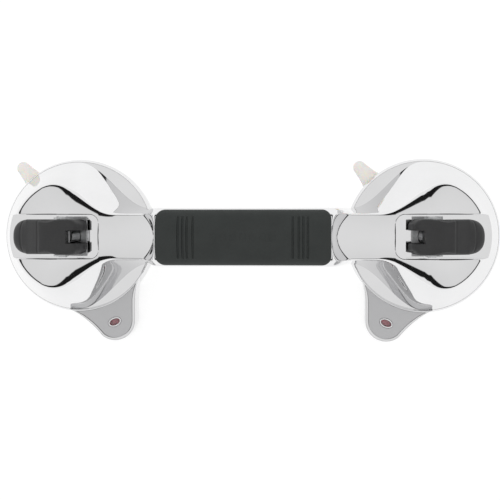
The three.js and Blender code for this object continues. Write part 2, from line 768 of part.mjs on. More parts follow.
// Seen from above: a round tip, a shallow waist in each side and chamfered inner corners.
function leverPlan() {
  const half = leverHalfWidth;
  const end = camRadius;
  const chamferX = camEdge().at(-1).x - 2;
  const waist = -0.26 * leverTip;
  const shape = new THREE.Shape();
  shape.moveTo(end, -half + 5);
  shape.lineTo(chamferX, -half);
  shape.lineTo(waist + 7, -half);
  shape.quadraticCurveTo(waist, -half + 2.4, waist - 7, -half);
  shape.lineTo(half - leverTip, -half);
  shape.absarc(half - leverTip, 0, half, -Math.PI / 2, Math.PI / 2, true);
  shape.lineTo(waist - 7, half);
  shape.quadraticCurveTo(waist, half - 2.4, waist + 7, half);
  shape.lineTo(chamferX, half);
  shape.lineTo(end, half - 5);
  return shape;
}

function lever() {
  const body = sideView(leverSide(), leverHalfWidth + 1, 8).intersect(slab(leverPlan(), 0, farUp, 8));
  const room = stemRadius + slack;
  const half = tongueHalf + slack;
  const reach = 2 * camRadius;
  const below = block(-room, room, -half, half, -reach, 0);
  const lifted = below.rotate(0, (-leverLift * 180) / Math.PI, 0);
  const between = block(0, reach, -half, half, -reach, 0);
  const tongueRoom = join(crossRod(room, half, 0, 0), below, between, lifted).translate(0, 0, pinHeight);
  return cut(body, tongueRoom, crossRod(pinRadius + gap, 2 * leverHalfWidth, 0, pinHeight));
}

function leverPin() {
  return crossRod(pinRadius, pinHalfLength, 0, pinHeight);
}

// An open ring pushed over the pin's end.
function pinClip(side) {
  const shape = new THREE.Shape();
  const mouth = 0.6;
  shape.absarc(0, 0, 2 * pinRadius, mouth, 2 * Math.PI - mouth);
  shape.absarc(0, 0, pinRadius + gap, 2 * Math.PI - 1.6 * mouth, 1.6 * mouth, true);
  const ring = sideView(shape, clipThickness / 2, 7);
  return ring.translate(0, side * (leverHalfWidth + gap + clipThickness / 2), pinHeight);
}

// ---------------------------------------------------------------- assembly
function cupAssembly(name, side) {
  const group = new THREE.Group();
  group.position.x = side * halfSpacing;
  group.scale.x = -side;
  const localTab = side < 0 ? tabAngle : Math.PI - tabAngle;
  group.add(
    piece(`${name}_base_disc`, baseDisc(), "chrome"),
    piece(`${name}_ear_face_plate`, earFacePlate(), "silver"),
    piece(`${name}_ear_back_cover`, earBackCover(), "dark"),
    piece(`${name}_ear_cover_screw`, earCoverScrew(), "steel"),
    piece(`${name}_indicator_bezel`, indicatorBezel(), "chrome"),
    piece(`${name}_indicator_window`, indicatorWindow(), "clear"),
    piece(`${name}_indicator_slider`, indicatorSlider(), "dark"),
    piece(`${name}_red_flag`, flagTile(0, 0), "red"),
    piece(`${name}_green_flag`, flagTile(-flagTravel - 0.05, 0), "green"),
    piece(`${name}_indicator_spring`, indicatorSpring(), "steel"),
    piece(`${name}_suction_cup`, suctionCup(localTab), "rubber"),
    piece(`${name}_pressure_ring`, pressureRing(), "dark"),
    piece(`${name}_cup_stem`, cupStem(), "steel"),
    piece(`${name}_stem_spring`, stemSpring(), "steel"),
    piece(`${name}_cam_seat`, camSeat(), "steel"),
    piece(`${name}_lever`, lever(), "lever"),
    piece(`${name}_lever_pin`, leverPin(), "steel"),
    piece(`${name}_pin_clip_upper`, pinClip(1), "steel"),
    piece(`${name}_pin_clip_lower`, pinClip(-1), "steel"),
  );
  baseScrewSpots.forEach(([x, y], index) => {
    const made = screw(x, y, baseScrewBottom, baseScrewLength);
    group.add(piece(`${name}_base_screw_${index + 1}`, made, "steel"));
  });
  return group;
}

const grabBar = new THREE.Group();
grabBar.position.y = depthShift;
grabBar.add(
  piece("handle_front_shell", handleFrontShell(), "chrome"),
  piece("handle_back_shell", handleBackShell(), "chrome"),
  piece("grip_pad", gripPad(), "grip"),
);
barScrewPlaces.forEach((x, index) => {
  const made = screw(x, 0, barScrewHeadBottom, barScrewLength);
  grabBar.add(piece(`handle_screw_${index + 1}`, made, "steel"));
});
grabBar.add(cupAssembly("left", -1), cupAssembly("right", 1));

export default grabBar;
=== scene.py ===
# %% [markdown]
# # A chromed suction grab bar
# The bar is a hollow plated handle on two rubber suction cups. The mechanism and all its sizes come
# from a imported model, which is loaded first and never changed. This lesson makes the fine surfaces
# that are seen: the plated shells, the soft grip, the levers, the base discs and the rubber cups.

# %% Load the frame
import json
import math
import bmesh
import bpy
import numpy as np
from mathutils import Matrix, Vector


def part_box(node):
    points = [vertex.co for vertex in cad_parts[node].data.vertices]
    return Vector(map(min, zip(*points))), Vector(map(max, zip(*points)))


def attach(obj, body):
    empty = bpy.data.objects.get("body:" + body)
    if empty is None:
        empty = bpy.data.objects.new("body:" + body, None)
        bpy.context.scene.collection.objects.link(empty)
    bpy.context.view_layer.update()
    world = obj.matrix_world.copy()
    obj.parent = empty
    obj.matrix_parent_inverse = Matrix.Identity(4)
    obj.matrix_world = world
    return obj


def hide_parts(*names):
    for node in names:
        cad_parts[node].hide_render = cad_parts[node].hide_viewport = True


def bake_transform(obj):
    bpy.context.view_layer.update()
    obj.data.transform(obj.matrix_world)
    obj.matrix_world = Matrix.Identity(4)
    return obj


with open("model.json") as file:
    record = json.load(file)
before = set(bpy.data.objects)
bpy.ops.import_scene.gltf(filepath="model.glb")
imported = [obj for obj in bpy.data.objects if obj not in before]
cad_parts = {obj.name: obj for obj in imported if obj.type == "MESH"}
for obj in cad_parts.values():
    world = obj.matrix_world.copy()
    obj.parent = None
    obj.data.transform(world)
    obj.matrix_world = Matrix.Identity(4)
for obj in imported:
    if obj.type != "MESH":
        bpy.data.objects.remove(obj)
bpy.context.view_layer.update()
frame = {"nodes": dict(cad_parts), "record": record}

MM = 0.001

# %% [markdown]
# ## Where things are
# Everything hangs on a few places: the axis of each cup, the middle of the bar and the height of
# the lever's pin. They are read from the boxes of the frame's own parts, in millimetres.

# %% Places
def box_mm(node):
    """Lowest and highest corner of a part, in millimetres."""
    low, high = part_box(node)
    return np.array(low) / MM, np.array(high) / MM


def middle_mm(node):
    low, high = box_mm(node)
    return (low + high) / 2


BAR_Y = middle_mm("grip_pad")[1]
HALF_SPACING = (middle_mm("right_cam_seat")[0] - middle_mm("left_cam_seat")[0]) / 2
DISC_RADIUS = -HALF_SPACING - box_mm("left_base_disc")[0][0]
GRIP_HALF = (box_mm("grip_pad")[1][0] - box_mm("grip_pad")[0][0]) / 2
PIN_Z = middle_mm("left_lever_pin")[2]
SEAT_TOP = box_mm("left_cam_seat")[1][2]
BAR_START = HALF_SPACING - GRIP_HALF
SIDES = {"left": -1, "right": 1}
print(f"cup axes at x = ±{HALF_SPACING:.1f}, bar at y = {BAR_Y:.1f}, pin at z = {PIN_Z:.1f} mm")

# %% [markdown]
# ## From arrays to meshes
# Each surface is a grid of points worked out as whole arrays. A helper turns a grid into a mesh,
# merges the points that coincide at poles and folds, turns the faces outwards, and keeps only real
# edges sharp.

# %% Mesh helpers
def quads(index):
    """Four-sided faces between the neighbouring rows and columns of a table of point numbers."""
    corners = [index[:-1, :-1], index[1:, :-1], index[1:, 1:], index[:-1, 1:]]
    return np.stack(corners, axis=-1).reshape(-1, 4)


def grid_faces(rows, columns, first=0, wrap=False):
    """Faces of a grid of rows by columns, whose points are numbered row by row."""
    index = np.arange(rows * columns).reshape(rows, columns) + first
    if wrap:
        index = np.concatenate([index, index[:, :1]], axis=1)
    return quads(index)


def soften(mesh, sharp_degrees):
    """Smooth shading, apart from edges that turn by more than sharp_degrees."""
    mesh.polygons.foreach_set("use_smooth", np.ones(len(mesh.polygons), dtype=bool))
    mesh.set_sharp_from_angle(angle=math.radians(sharp_degrees))


def make_piece(name, points, faces, sharp_degrees=35.0):
    """An object from points in millimetres and a list of faces, closed and facing outwards."""
    mesh = bpy.data.meshes.new(name)
    mesh.from_pydata((np.asarray(points) * MM).tolist(), [], faces)
    work = bmesh.new()
    work.from_mesh(mesh)
    bmesh.ops.remove_doubles(work, verts=work.verts, dist=2e-6)
    bmesh.ops.dissolve_degenerate(work, edges=work.edges, dist=1e-6)
    bmesh.ops.recalc_face_normals(work, faces=work.faces)
    open_edges = sum(1 for edge in work.edges if len(edge.link_faces) != 2)
    work.to_mesh(mesh)
    work.free()
    soften(mesh, sharp_degrees)
    piece = bpy.data.objects.new(name, mesh)
    bpy.context.scene.collection.objects.link(piece)
    print(f"{name}: {len(mesh.polygons)} faces, {open_edges} edges without two faces")
    return piece


def carve(piece, tool, sharp_degrees=35.0, operation="DIFFERENCE"):
    """Cuts the tool out of the piece, or joins it on with UNION, and throws the tool away."""
    cutter = piece.modifiers.new("carve", "BOOLEAN")
    cutter.object = tool
    cutter.operation = operation
    cutter.solver = "EXACT"
    depsgraph = bpy.context.evaluated_depsgraph_get()
    made = bpy.data.meshes.new_from_object(piece.evaluated_get(depsgraph))
    piece.modifiers.clear()
    piece.data = made
    bpy.data.objects.remove(tool)
    soften(made, sharp_degrees)
    return piece


# %% Solids from rings and from sheets
def loft(rings, closed_ends=True):
    """Points and faces of a solid through rings, an array of rings by points in a ring by 3."""
    count, around = rings.shape[:2]
    faces = grid_faces(count, around, wrap=True).tolist()
    if closed_ends:
        faces.append(list(range(around))[::-1])
        faces.append(list(range((count - 1) * around, count * around)))
    return rings.reshape(-1, 3), faces


def sheets(outer, inner, ends=False):
    """Points and faces of a solid between two grids, joined at the sides and, if asked, ends."""
    rows, columns = outer.shape[:2]
    count = rows * columns
    faces = [grid_faces(rows, columns), grid_faces(rows, columns, first=count)[:, ::-1]]
    down = np.arange(rows - 1) * columns
    over = np.arange(columns - 1)
    edges = [(down, columns), (down + columns - 1, columns)]
    if ends:
        edges += [(over, 1), (over + (rows - 1) * columns, 1)]
    for edge, step in edges:
        faces.append(np.stack([edge, edge + step, edge + step + count, edge + count], axis=-1))
    points = np.concatenate([outer.reshape(-1, 3), inner.reshape(-1, 3)])
    return points, np.concatenate(faces).tolist()


def mirrored(y, z):
    """A half section carried on over the centre line to the other side."""
    return np.concatenate([y, -y[:, -2::-1]], axis=1), np.concatenate([z, z[:, -2::-1]], axis=1)


def turned(profile, steps=144):
    """A profile of [radius, height] turned about the Z axis: x = r cos a, y = r sin a.

    It closes on itself, unless both its ends lie on the axis."""
    profile = np.asarray(profile, dtype=float)
    on_axis = profile[0, 0] == 0 and profile[-1, 0] == 0
    angle = np.linspace(0, 2 * np.pi, steps, endpoint=False)[:, None]
    x = np.cos(angle) * profile[:, 0]
    y = np.sin(angle) * profile[:, 0]
    z = np.broadcast_to(profile[:, 1], x.shape)
    rings = np.stack([x, y, z], axis=-1)
    index = np.arange(steps * len(profile)).reshape(steps, -1)
    index = np.concatenate([index, index[:1]], axis=0)
    if not on_axis:
        index = np.concatenate([index, index[:, :1]], axis=1)
    return rings.reshape(-1, 3), quads(index).tolist()


def rod(radius, low, high):
    """An upright round rod, to cut a bore or a recess."""
    return turned([[0, low], [radius, low], [radius, high], [0, high]], 48)


def rounded(corners, radius, steps=6):
    """A closed outline of [x, y] corners with each corner turned into a small arc-like curve.

    The curve between the points that lie `radius` before and after a corner is the quadratic one:
    (1-t)² before + 2t(1-t) corner + t² after."""
    corners = np.asarray(corners, dtype=float)
    before = np.roll(corners, 1, axis=0) - corners
    after = np.roll(corners, -1, axis=0) - corners
    t = np.linspace(0, 1, steps)[None, :, None]
    trimmed = []
    for side in (before, after):
        length = np.linalg.norm(side, axis=1, keepdims=True)
        trimmed.append(corners + side / length * np.minimum(radius, 0.45 * length))
    first, last = trimmed[0][:, None], trimmed[1][:, None]
    curve = (1 - t) ** 2 * first + 2 * t * (1 - t) * corners[:, None] + t**2 * last
    return curve.reshape(-1, 2)


def placed(points, side):
    """Points moved from a cup's own frame, whose +X looks at the bar's middle, to the row's."""
    out = np.array(points, dtype=float)
    out[:, 0] = side * (HALF_SPACING - out[:, 0])
    out[:, 1] += BAR_Y
    return out


def cup_piece(name, side, solid, sharp_degrees=35.0):
    """make_piece for the points and faces of a solid in a cup's own frame."""
    points, faces = solid
    return make_piece(name, placed(points, side), faces, sharp_degrees)


def both(make):
    """What a maker gives for each cup, by the cup's name."""
    return {name: make(name, side) for name, side in SIDES.items()}


def ease(t):
    """A half cosine wave from 0 to 1: (1 - cos πt) / 2."""
    return 0.5 - 0.5 * np.cos(np.pi * np.clip(t, 0, 1))


def mix(a, b, t):
    """From a at t = 0 to b at t = 1, in a straight line."""
    return a + (b - a) * t


# %% [markdown]
# ## The handle's outside
# The plated handle is one flowing form: a round dome over each cup, with a plateau and a flank,
# that draws in to a neck and climbs to the bar. Cutting it into sections gives a surface with two
# parameters: `along`, the distance from a cup's axis, and `v`, from the centre line to the rim.
# Round the outer half of a dome the sections open like a fan, by the angle `turn`. Lofting would be
# quicker, but a formula keeps the reflections smooth, and the eye reads chrome by them.

# %% Sizes of the handle
BAR_HALF_WIDTH = 16.6
BAR_TOP = 64.0
BAR_UNDERSIDE = 39.0
PARTING = 50.0
BAR_POWER = 2.6
WALL = 2.0
PLATEAU_RADIUS = 33.0
EDGE_PLACES = [-16.0, 4.0, 20.0, 30.0]
EDGE_SLOPES = [0.50, 0.86, 0.82, 0.64]
CROWN = 43.0
NECK_HALF_WIDTH = 13.2
NECK_START = -14.0
NECK_REACH = 30.0
NECK_CROWN = 48.5
SKIRT_RADIUS = DISC_RADIUS - 2.0
FOOT_HALF_WIDTH = 17.0
FOOT_REACH = 44.0
RIM_HEIGHT = 11.8
CREASE = 0.03
FLOOR_TOP = SEAT_TOP - 1.1
STEM_BORE = 6.1
CREASED_DEGREES = 40.0


# %% The section of the housing and of the bar
def edge_reach(along, turn):
    """Distance along the plateau's edge. On the fan it is negative, and is -turn × radius."""
    return np.where(turn > 0, -turn * PLATEAU_RADIUS, along)


def plateau_half(along, turn):
    """Half the plateau's width, which starts to narrow on the fan."""
    share = (edge_reach(along, turn) - NECK_START) / (NECK_REACH - NECK_START)
    return mix(PLATEAU_RADIUS, NECK_HALF_WIDTH, ease(share))


def skirt_half(along):
    """Half the housing's width at its rim, where it draws in to the foot of the leg."""
    return mix(SKIRT_RADIUS, FOOT_HALF_WIDTH, ease(along / FOOT_REACH))


def edge_slope(along, turn):
    """Slope of the crown where it meets the flank, steepest beside the cup's axis."""
    return np.interp(edge_reach(along, turn), EDGE_PLACES, EDGE_SLOPES)


def housing_raw(along, turn, v, inset):
    """Crown and flank: y grows evenly with v, and z falls with the square of v over the crown."""
    plateau = plateau_half(along, turn) - inset
    skirt = skirt_half(along) - inset
    crown = mix(CROWN, NECK_CROWN, ease(along / BAR_START)) - inset
    edge = crown - 0.5 * edge_slope(along, turn) * (plateau + inset)
    across = np.clip(v / 0.5, 0, 1)
    down = np.clip((v - 0.5) / 0.5, 0, 1)
    y = np.where(v <= 0.5, plateau * across, mix(plateau, skirt, down))
    over = mix(crown, edge, across**2)
    flank = mix(edge, RIM_HEIGHT, down)
    return y, np.where(v <= 0.5, over, flank)


def housing(along, turn, v, inset):
    """The housing with its crease rounded by a quadratic curve, from v = 0.5 - w to 0.5 + w."""
    t = np.clip((v - 0.5 + CREASE) / (2 * CREASE), 0, 1)
    y0, z0 = housing_raw(along, turn, 0.5 - CREASE, inset)
    y1, z1 = housing_raw(along, turn, 0.5, inset)
    y2, z2 = housing_raw(along, turn, 0.5 + CREASE, inset)
    y, z = housing_raw(along, turn, v, inset)
    near = (t > 0) & (t < 1)
    curve_y = (1 - t) ** 2 * y0 + 2 * t * (1 - t) * y1 + t**2 * y2
    curve_z = (1 - t) ** 2 * z0 + 2 * t * (1 - t) * z1 + t**2 * z2
    return np.where(near, curve_y, y), np.where(near, curve_z, z)


def superellipse(angle):
    """A point of |p|^n + |q|^n = 1, by its angle: p = |cos|^(2/n), q = |sin|^(2/n)."""
    return np.abs(np.cos(angle)) ** (2 / BAR_POWER), np.abs(np.sin(angle)) ** (2 / BAR_POWER)


def bar_section(v, inset):
    """The bar above its parting line: half a superellipse."""
    across, up = superellipse(np.pi / 2 * (1 - v))
    return (BAR_HALF_WIDTH - inset) * across, PARTING + (BAR_TOP - PARTING - inset) * up


def handle(along, turn, v, inset=0.0):
    """The neck turns into the bar late on its centre line and earlier towards the rim."""
    late, shoulder, foot = BAR_START - 4.0, BAR_START - 12.4, DISC_RADIUS - 6.0
    crown_start = mix(late, shoulder, np.clip(v / 0.5, 0, 1) ** 2)
    start = np.where(v <= 0.5, crown_start, mix(shoulder, foot, np.clip(v / 0.5 - 1, 0, 1)))
    risen = ease((along - inset - start) / (BAR_START - start))
    y0, z0 = housing(along, turn, v, inset)
    y1, z1 = bar_section(v, inset)
    return mix(y0, y1, risen), mix(z0, z1, risen)


def underside(along, v, inset=0.0):
    """Underside of the legs and the bar, the lower half of the same kind of curve."""
    rim_y, rim_z = handle(along, np.zeros_like(along), np.ones_like(v))
    risen = ease((along + inset - (DISC_RADIUS - 1)) / (BAR_START + 5 - DISC_RADIUS))
    low = mix(RIM_HEIGHT, BAR_UNDERSIDE, risen) + inset
    down, across = superellipse(np.pi / 2 * v)
    return (rim_y - inset) * across, rim_z - np.maximum(0, rim_z - low) * down


print("housing at the cup's axis:", [round(float(a), 1) for a in handle(0.0, 0.0, 0.0)])

# %% [markdown]
# ## The pocket for the lever
# Each lever lies in a pocket with a flat floor, upright walls and a rounded lip. It is open at its
# outer end, where the floor runs out through the flank. It could be cut with a boolean, but a cut
# leaves long thin faces that show in chrome. So the grid itself dips: its columns go over the flank
# and the crown, round the lip, down the wall and over the floor.

# %% Columns of the grid
SLOT_HALF = 12.75
SLOT_END = 20.4
SLOT_CORNER = 6.0
SHELF_WIDTH = 5.8
SHELF_DROP = 5.0
LIP = 0.9
FLANK_COLUMNS, CROWN_COLUMNS, LIP_COLUMNS, WALL_COLUMNS, FLOOR_COLUMNS = 34, 22, 6, 4, 9


def slot_distance(x, y, margin):
    """Distance outside the pocket's outline, a rounded rectangle grown by margin, open outwards."""
    corner = SLOT_CORNER + margin
    over_x = np.maximum(x - (SLOT_END + margin - corner), 0)
    over_y = np.maximum(y - (SLOT_HALF + margin - corner), 0)
    return np.hypot(over_x, over_y) - corner


def slot_half_width(along, margin):
    """Half the pocket's width at a place along it: constant, then closing round the corner."""
    corner = SLOT_CORNER + margin
    past = np.clip(along - (SLOT_END + margin - corner), 0, corner)
    return SLOT_HALF + margin - corner + np.sqrt(np.maximum(corner**2 - past**2, 0))


def lip_drop(distance, radius):
    """How far a round lip falls below the surface at a distance from the pocket's edge."""
    inward = np.clip(radius - distance, 0, radius)
    return radius - np.sqrt(np.maximum(radius**2 - inward**2, 0))


def v_of_reach(along, turn, reach, inset):
    """The parameter v at which a section is `reach` away from its centre line."""
    plateau = plateau_half(along, turn) - inset
    skirt = skirt_half(along) - inset
    beyond = 0.5 + 0.5 * (reach - plateau) / (skirt - plateau)
    return np.where(reach <= plateau, 0.5 * reach / plateau, beyond)


# %% Half of every section
def half_sections(along, turn, pocketed, inset):
    """Reach from the centre line and height, at every station and column, from the rim inwards."""
    lip = max(LIP - inset, 0.05)
    shelf_start = SLOT_END - SHELF_WIDTH - inset
    on_shelf = pocketed & (along > shelf_start)
    floor = np.where(on_shelf, PIN_Z - SHELF_DROP, FLOOR_TOP)[:, None] - inset
    spread = np.maximum(np.cos(turn), 1e-4)
    rib_v = np.linspace(0, 1, 400)
    rib_y, rib_z = housing(0 * rib_v, 0 * rib_v + np.pi / 2, rib_v, inset)
    mouth = np.interp(inset - FLOOR_TOP, -rib_z, rib_y)
    limit = np.where(turn > 0, mouth, np.inf)
    wall = np.minimum(slot_half_width(along, inset) / spread, limit)
    start = np.minimum(slot_half_width(along, inset + lip) / spread, limit)
    blind = SLOT_HALF - SLOT_CORNER
    wall = np.where(pocketed, wall, blind)[:, None]
    start = np.where(pocketed, start, blind + lip)[:, None]
    a, t = along[:, None], turn[:, None]

    first = v_of_reach(a, t, start, inset)
    flank_v = np.linspace(1, 0.5, FLANK_COLUMNS)[None, :]
    crown_v = mix(0.5, np.minimum(first, 0.5), np.linspace(0, 1, CROWN_COLUMNS + 1)[None, 1:])
    flank_v = np.broadcast_to(flank_v, (len(along), FLANK_COLUMNS))
    outer_v = np.maximum(np.concatenate([flank_v, crown_v], axis=1), first)
    outer_y, outer_z = handle(a, t, outer_v, inset)

    lip_reach = mix(start, wall, np.linspace(0, 1, LIP_COLUMNS + 1)[None, 1:] ** 0.6)
    lip_v = v_of_reach(a, t, lip_reach, inset)
    lip_y, lip_z = handle(a, t, lip_v, inset)
    distance = slot_distance(np.where(t > 0, -1.0, a), lip_reach * np.cos(t), inset)
    lip_z = np.maximum(lip_z - lip_drop(distance, lip), floor)

    down = np.linspace(0, 1, WALL_COLUMNS + 1)[None, 1:]
    wall_y = np.repeat(lip_y[:, -1:], WALL_COLUMNS, axis=1)
    foot = np.where(pocketed[:, None], floor, lip_z[:, -1:])
    wall_z = mix(lip_z[:, -1:], foot, down)

    inwards = np.linspace(0, 1, FLOOR_COLUMNS + 1)[None, 1:]
    floor_reach = mix(wall, 0.0, inwards)
    floor_v = v_of_reach(a, t, floor_reach, inset)
    top_y, top_z = handle(a, t, floor_v, inset)
    sunk = lip_drop(slot_distance(np.maximum(a, SLOT_END + inset), floor_reach, inset), lip)
    floor_y = np.where(pocketed[:, None], mix(wall_y[:, -1:], 0.0, inwards), top_y)
    floor_z = np.where(pocketed[:, None], floor, top_z - sunk)
    y = np.concatenate([outer_y, lip_y, wall_y, floor_y], axis=1)
    z = np.concatenate([outer_z, lip_z, wall_z, floor_z], axis=1)
    return y, z


# %% Stations from cup to cup
def half_stations():
    """along, turn and whether the pocket is open, from a dome's outer tip to the bar's middle."""
    fan = np.pi / 2 * (1 - np.linspace(0, 1, 61)[:-1])
    corner = SLOT_END - SLOT_CORNER
    straight = np.linspace(0, corner, 15)[:-1]
    bend = corner + SLOT_CORNER * np.sin(np.linspace(0, np.pi / 2, 11))
    lip = SLOT_END + LIP * (1 - np.cos(np.linspace(0, np.pi / 2, 6)))
    climb_start, climb_end = BAR_START - 14, BAR_START + 6
    neck = np.linspace(SLOT_END + LIP, climb_start, 16)[1:]
    climb = np.linspace(climb_start, climb_end, 40)[1:]
    bar = np.linspace(climb_end, HALF_SPACING, 10)[1:]
    along = np.concatenate([0 * fan, straight, bend, lip, neck, climb, bar])
    turn = np.concatenate([fan, np.zeros(len(along) - len(fan))])
    open_count = len(fan) + len(straight) + len(bend)
    return along, turn, np.arange(len(along)) < open_count


def handle_grid(inset):
    """The whole front surface as rows of points from rim to rim, the left half and its mirror."""
    along, turn, pocketed = half_stations()
    near_end = np.clip(1 - np.abs(along - SLOT_END) / 9.0, 0, 1)
    shifted = along + inset * near_end * (turn == 0)
    reach, height = half_sections(shifted, turn, pocketed, inset)
    x = -HALF_SPACING + shifted[:, None] - reach * np.sin(turn)[:, None]
    y = reach * np.cos(turn)[:, None]
    upper = np.stack([x, y, height], axis=-1)
    lower = upper * [1, -1, 1]
    left = np.concatenate([upper, lower[:, -2::-1]], axis=1)
    right = (left * [-1, 1, 1])[-2::-1]
    return np.concatenate([left, right], axis=0) + [0, BAR_Y, 0]


def front_shell():
    """Outer and inner surface, joined along both rims. The fans at the ends fold shut."""
    points, faces = sheets(handle_grid(0.0), handle_grid(WALL))
    piece = make_piece("handle_front_skin", points, faces, CREASED_DEGREES)
    for side in SIDES.values():
        bore = rod(STEM_BORE, FLOOR_TOP - 6, FLOOR_TOP + 6)
        carve(piece, cup_piece("stem_bore", side, bore), CREASED_DEGREES)
    return piece


handle_front = front_shell()

# %% [markdown]
# ## The back shell
# It closes the legs and the underside of the bar. Its section is the outer curve and, a wall's
# thickness inside it, the same curve back again, so each station is one closed ring. Four round
# recesses take the heads of the screws.

# %% Back shell
HANDLE_SCREWS = [f"handle_screw_{number}" for number in range(1, 5)]
SCREW_HEAD = 3.1
SCREW_HEAD_HEIGHT = 1.6


def back_shell():
    """Rings of the underside's curve out and back, from one foot to the other."""
    climb_end = BAR_START + 8
    climb = np.linspace(FOOT_REACH + 0.5, climb_end, 46)
    bar = np.linspace(climb_end, HALF_SPACING, 12)[1:]
    along = np.concatenate([climb, bar])[:, None]
    v = np.linspace(1, 0, 21)[None, :]
    out_y, out_z = underside(along + 0 * v, v + 0 * along)
    in_y, in_z = underside(along + 0 * v, v + 0 * along, WALL)
    out_z = out_z - 0.15 * (v > 0.999)
    out_y, out_z = mirrored(out_y, out_z)
    in_y, in_z = mirrored(in_y, in_z)
    y = np.concatenate([out_y, in_y[:, ::-1]], axis=1)
    z = np.concatenate([out_z, in_z[:, ::-1]], axis=1)
    x = np.broadcast_to(-HALF_SPACING + along, y.shape)
    left = np.stack([x, y + BAR_Y, z], axis=-1)
    right = (left * [-1, 1, 1])[-2::-1]
    rings = np.concatenate([left, right], axis=0)
    rows, around = rings.shape[:2]
    points, faces = loft(rings, closed_ends=False)
    columns = around // 2
    for row, order in ((0, 1), (rows - 1, -1)):
        near = row * around + np.arange(columns)
        far = row * around + around - 1 - np.arange(columns)
        strip = np.stack([near[:-1], near[1:], far[1:], far[:-1]], axis=-1)[:, ::order]
        faces += strip.tolist()
    piece = make_piece("handle_back_skin", points, faces, CREASED_DEGREES)
    for node in HANDLE_SCREWS:
        x, y = middle_mm(node)[:2]
        head_top = box_mm(node)[0][2] + SCREW_HEAD_HEIGHT
        points, faces = rod(SCREW_HEAD + 0.4, BAR_UNDERSIDE - 3, head_top + 0.3)
        carve(piece, make_piece("screw_recess", points + [x, y, 0], faces))
    return piece


handle_back = back_shell()

# %% [markdown]
# ## The soft grip
# A band of soft rubber lies over the front of the bar. It stands a little proud with a rounded
# edge, four moulded grooves cross it near each end, and small sunk ovals fill its middle.

# %% Grip
GRIP_HALF_WIDTH = 15.4
GRIP_PROUD = 0.8
GRIP_CORNER = 5.0
GRIP_EDGE = 0.9
GROOVES = [27.2, 30.5, 32.9, 35.4]
GROOVE_SPAN = 11.7
GROOVE_DEPTH = 0.6
OVAL_PITCH = 5.4
OVAL_HALF = (1.9, 3.1)
OVAL_DEPTH = 0.28


def grip_points(rows, columns, lift):
    """Points of the band: x scaled to the rounded plan, and the bar's section raised by lift."""
    across = np.sin(np.linspace(-1, 1, columns) * np.pi / 2)[None, :]
    t = rows[:, None]
    width_share = GRIP_HALF_WIDTH / (BAR_HALF_WIDTH + GRIP_PROUD)
    widest_v = 1 - 2 / np.pi * math.acos(width_share ** (BAR_POWER / 2))
    v = np.abs(across) * widest_v
    y, z = bar_section(v, -lift * np.ones_like(v))
    y = y * np.sign(across)
    past = np.clip(np.abs(y) - (GRIP_HALF_WIDTH - GRIP_CORNER), 0, GRIP_CORNER)
    length = GRIP_HALF - GRIP_CORNER + np.sqrt(GRIP_CORNER**2 - past**2)
    return t * length, y + 0 * t, z + 0 * t


def grip_relief(x, y):
    """Depth of the grooves and of the sunk ovals at each point."""
    end = np.clip((GROOVE_SPAN - np.abs(y)) / 0.5, 0, 1)
    depth = np.zeros_like(x)
    for groove in GROOVES:
        side = np.clip((np.abs(np.abs(x) - groove) - 0.25) / 0.35, 0, 1)
        depth = np.maximum(depth, GROOVE_DEPTH * (1 - side**2) * end)
    spot = x - np.round(np.clip(x, -16, 16) / OVAL_PITCH) * OVAL_PITCH
    inside = 1 - (spot / OVAL_HALF[0]) ** 2 - (y / OVAL_HALF[1]) ** 2
    return np.maximum(depth, OVAL_DEPTH * np.clip(inside / 0.35, 0, 1))


def grip_cover():
    """The band's outer surface and its underside, joined at the edge. Rows crowd at the grooves."""
    fine = [np.linspace(groove - 0.9, groove + 0.9, 13) for groove in GROOVES]
    plain = np.linspace(0, GRIP_HALF - GRIP_EDGE, 150)
    edge = GRIP_HALF - GRIP_EDGE * (1 - np.sin(np.linspace(0, np.pi / 2, 8)))
    half = np.unique(np.round(np.concatenate([plain, edge, *fine]), 3)) / GRIP_HALF
    rows = np.concatenate([-half[:0:-1], half])
    columns = 97
    x, y, z = grip_points(rows, columns, GRIP_PROUD)
    to_end = (1 - np.abs(rows))[:, None] * GRIP_HALF
    to_side = (GRIP_HALF_WIDTH - np.abs(y)) * 0.9
    fall = lip_drop(np.minimum(to_end, to_side), GRIP_EDGE)
    outer = np.stack([x, y, z - grip_relief(x, y) - fall], axis=-1)
    low_y, low_z = grip_points(rows, columns, -1.1)[1:]
    inner = np.stack([x, low_y, np.minimum(low_z, z - 1.2)], axis=-1)
    points, faces = sheets(outer, inner, ends=True)
    return make_piece("grip_cover", points + [0, BAR_Y, 0], faces, sharp_degrees=60.0)


grip = grip_cover()

# %% [markdown]
# ## Base discs
# A base is a shallow turned disc with an ear on one side. The disc comes from its profile turned
# about the cup's axis. The ear is a stack of outlines, each a little inside the last where the edge
# is rounded, and a boolean joins the two because they meet in flat faces where a cut doesn't show.

# %% Ear outline
EAR_TIP = np.array([22.8, -51.5])
EAR_TIP_RADIUS = 12.7
EAR_TOP = 15.2
EAR_ROOT = DISC_RADIUS - 1.8
EAR_BEVEL = 1.3
EAR_MARGIN = 1.75
RIM_BOTTOM = box_mm("left_base_disc")[0][2]
DISC_TOP = RIM_HEIGHT - 0.3


def polar(radius, degrees):
    """Points [r cos a, r sin a]."""
    angle = np.radians(degrees)
    return np.stack([radius * np.cos(angle), radius * np.sin(angle)], axis=-1)


def bezier(start, control, end, steps):
    """Quadratic curve: (1-t)² start + 2t(1-t) control + t² end."""
    t = np.linspace(0, 1, steps)[:, None]
    return (1 - t) ** 2 * start + 2 * t * (1 - t) * control + t**2 * end


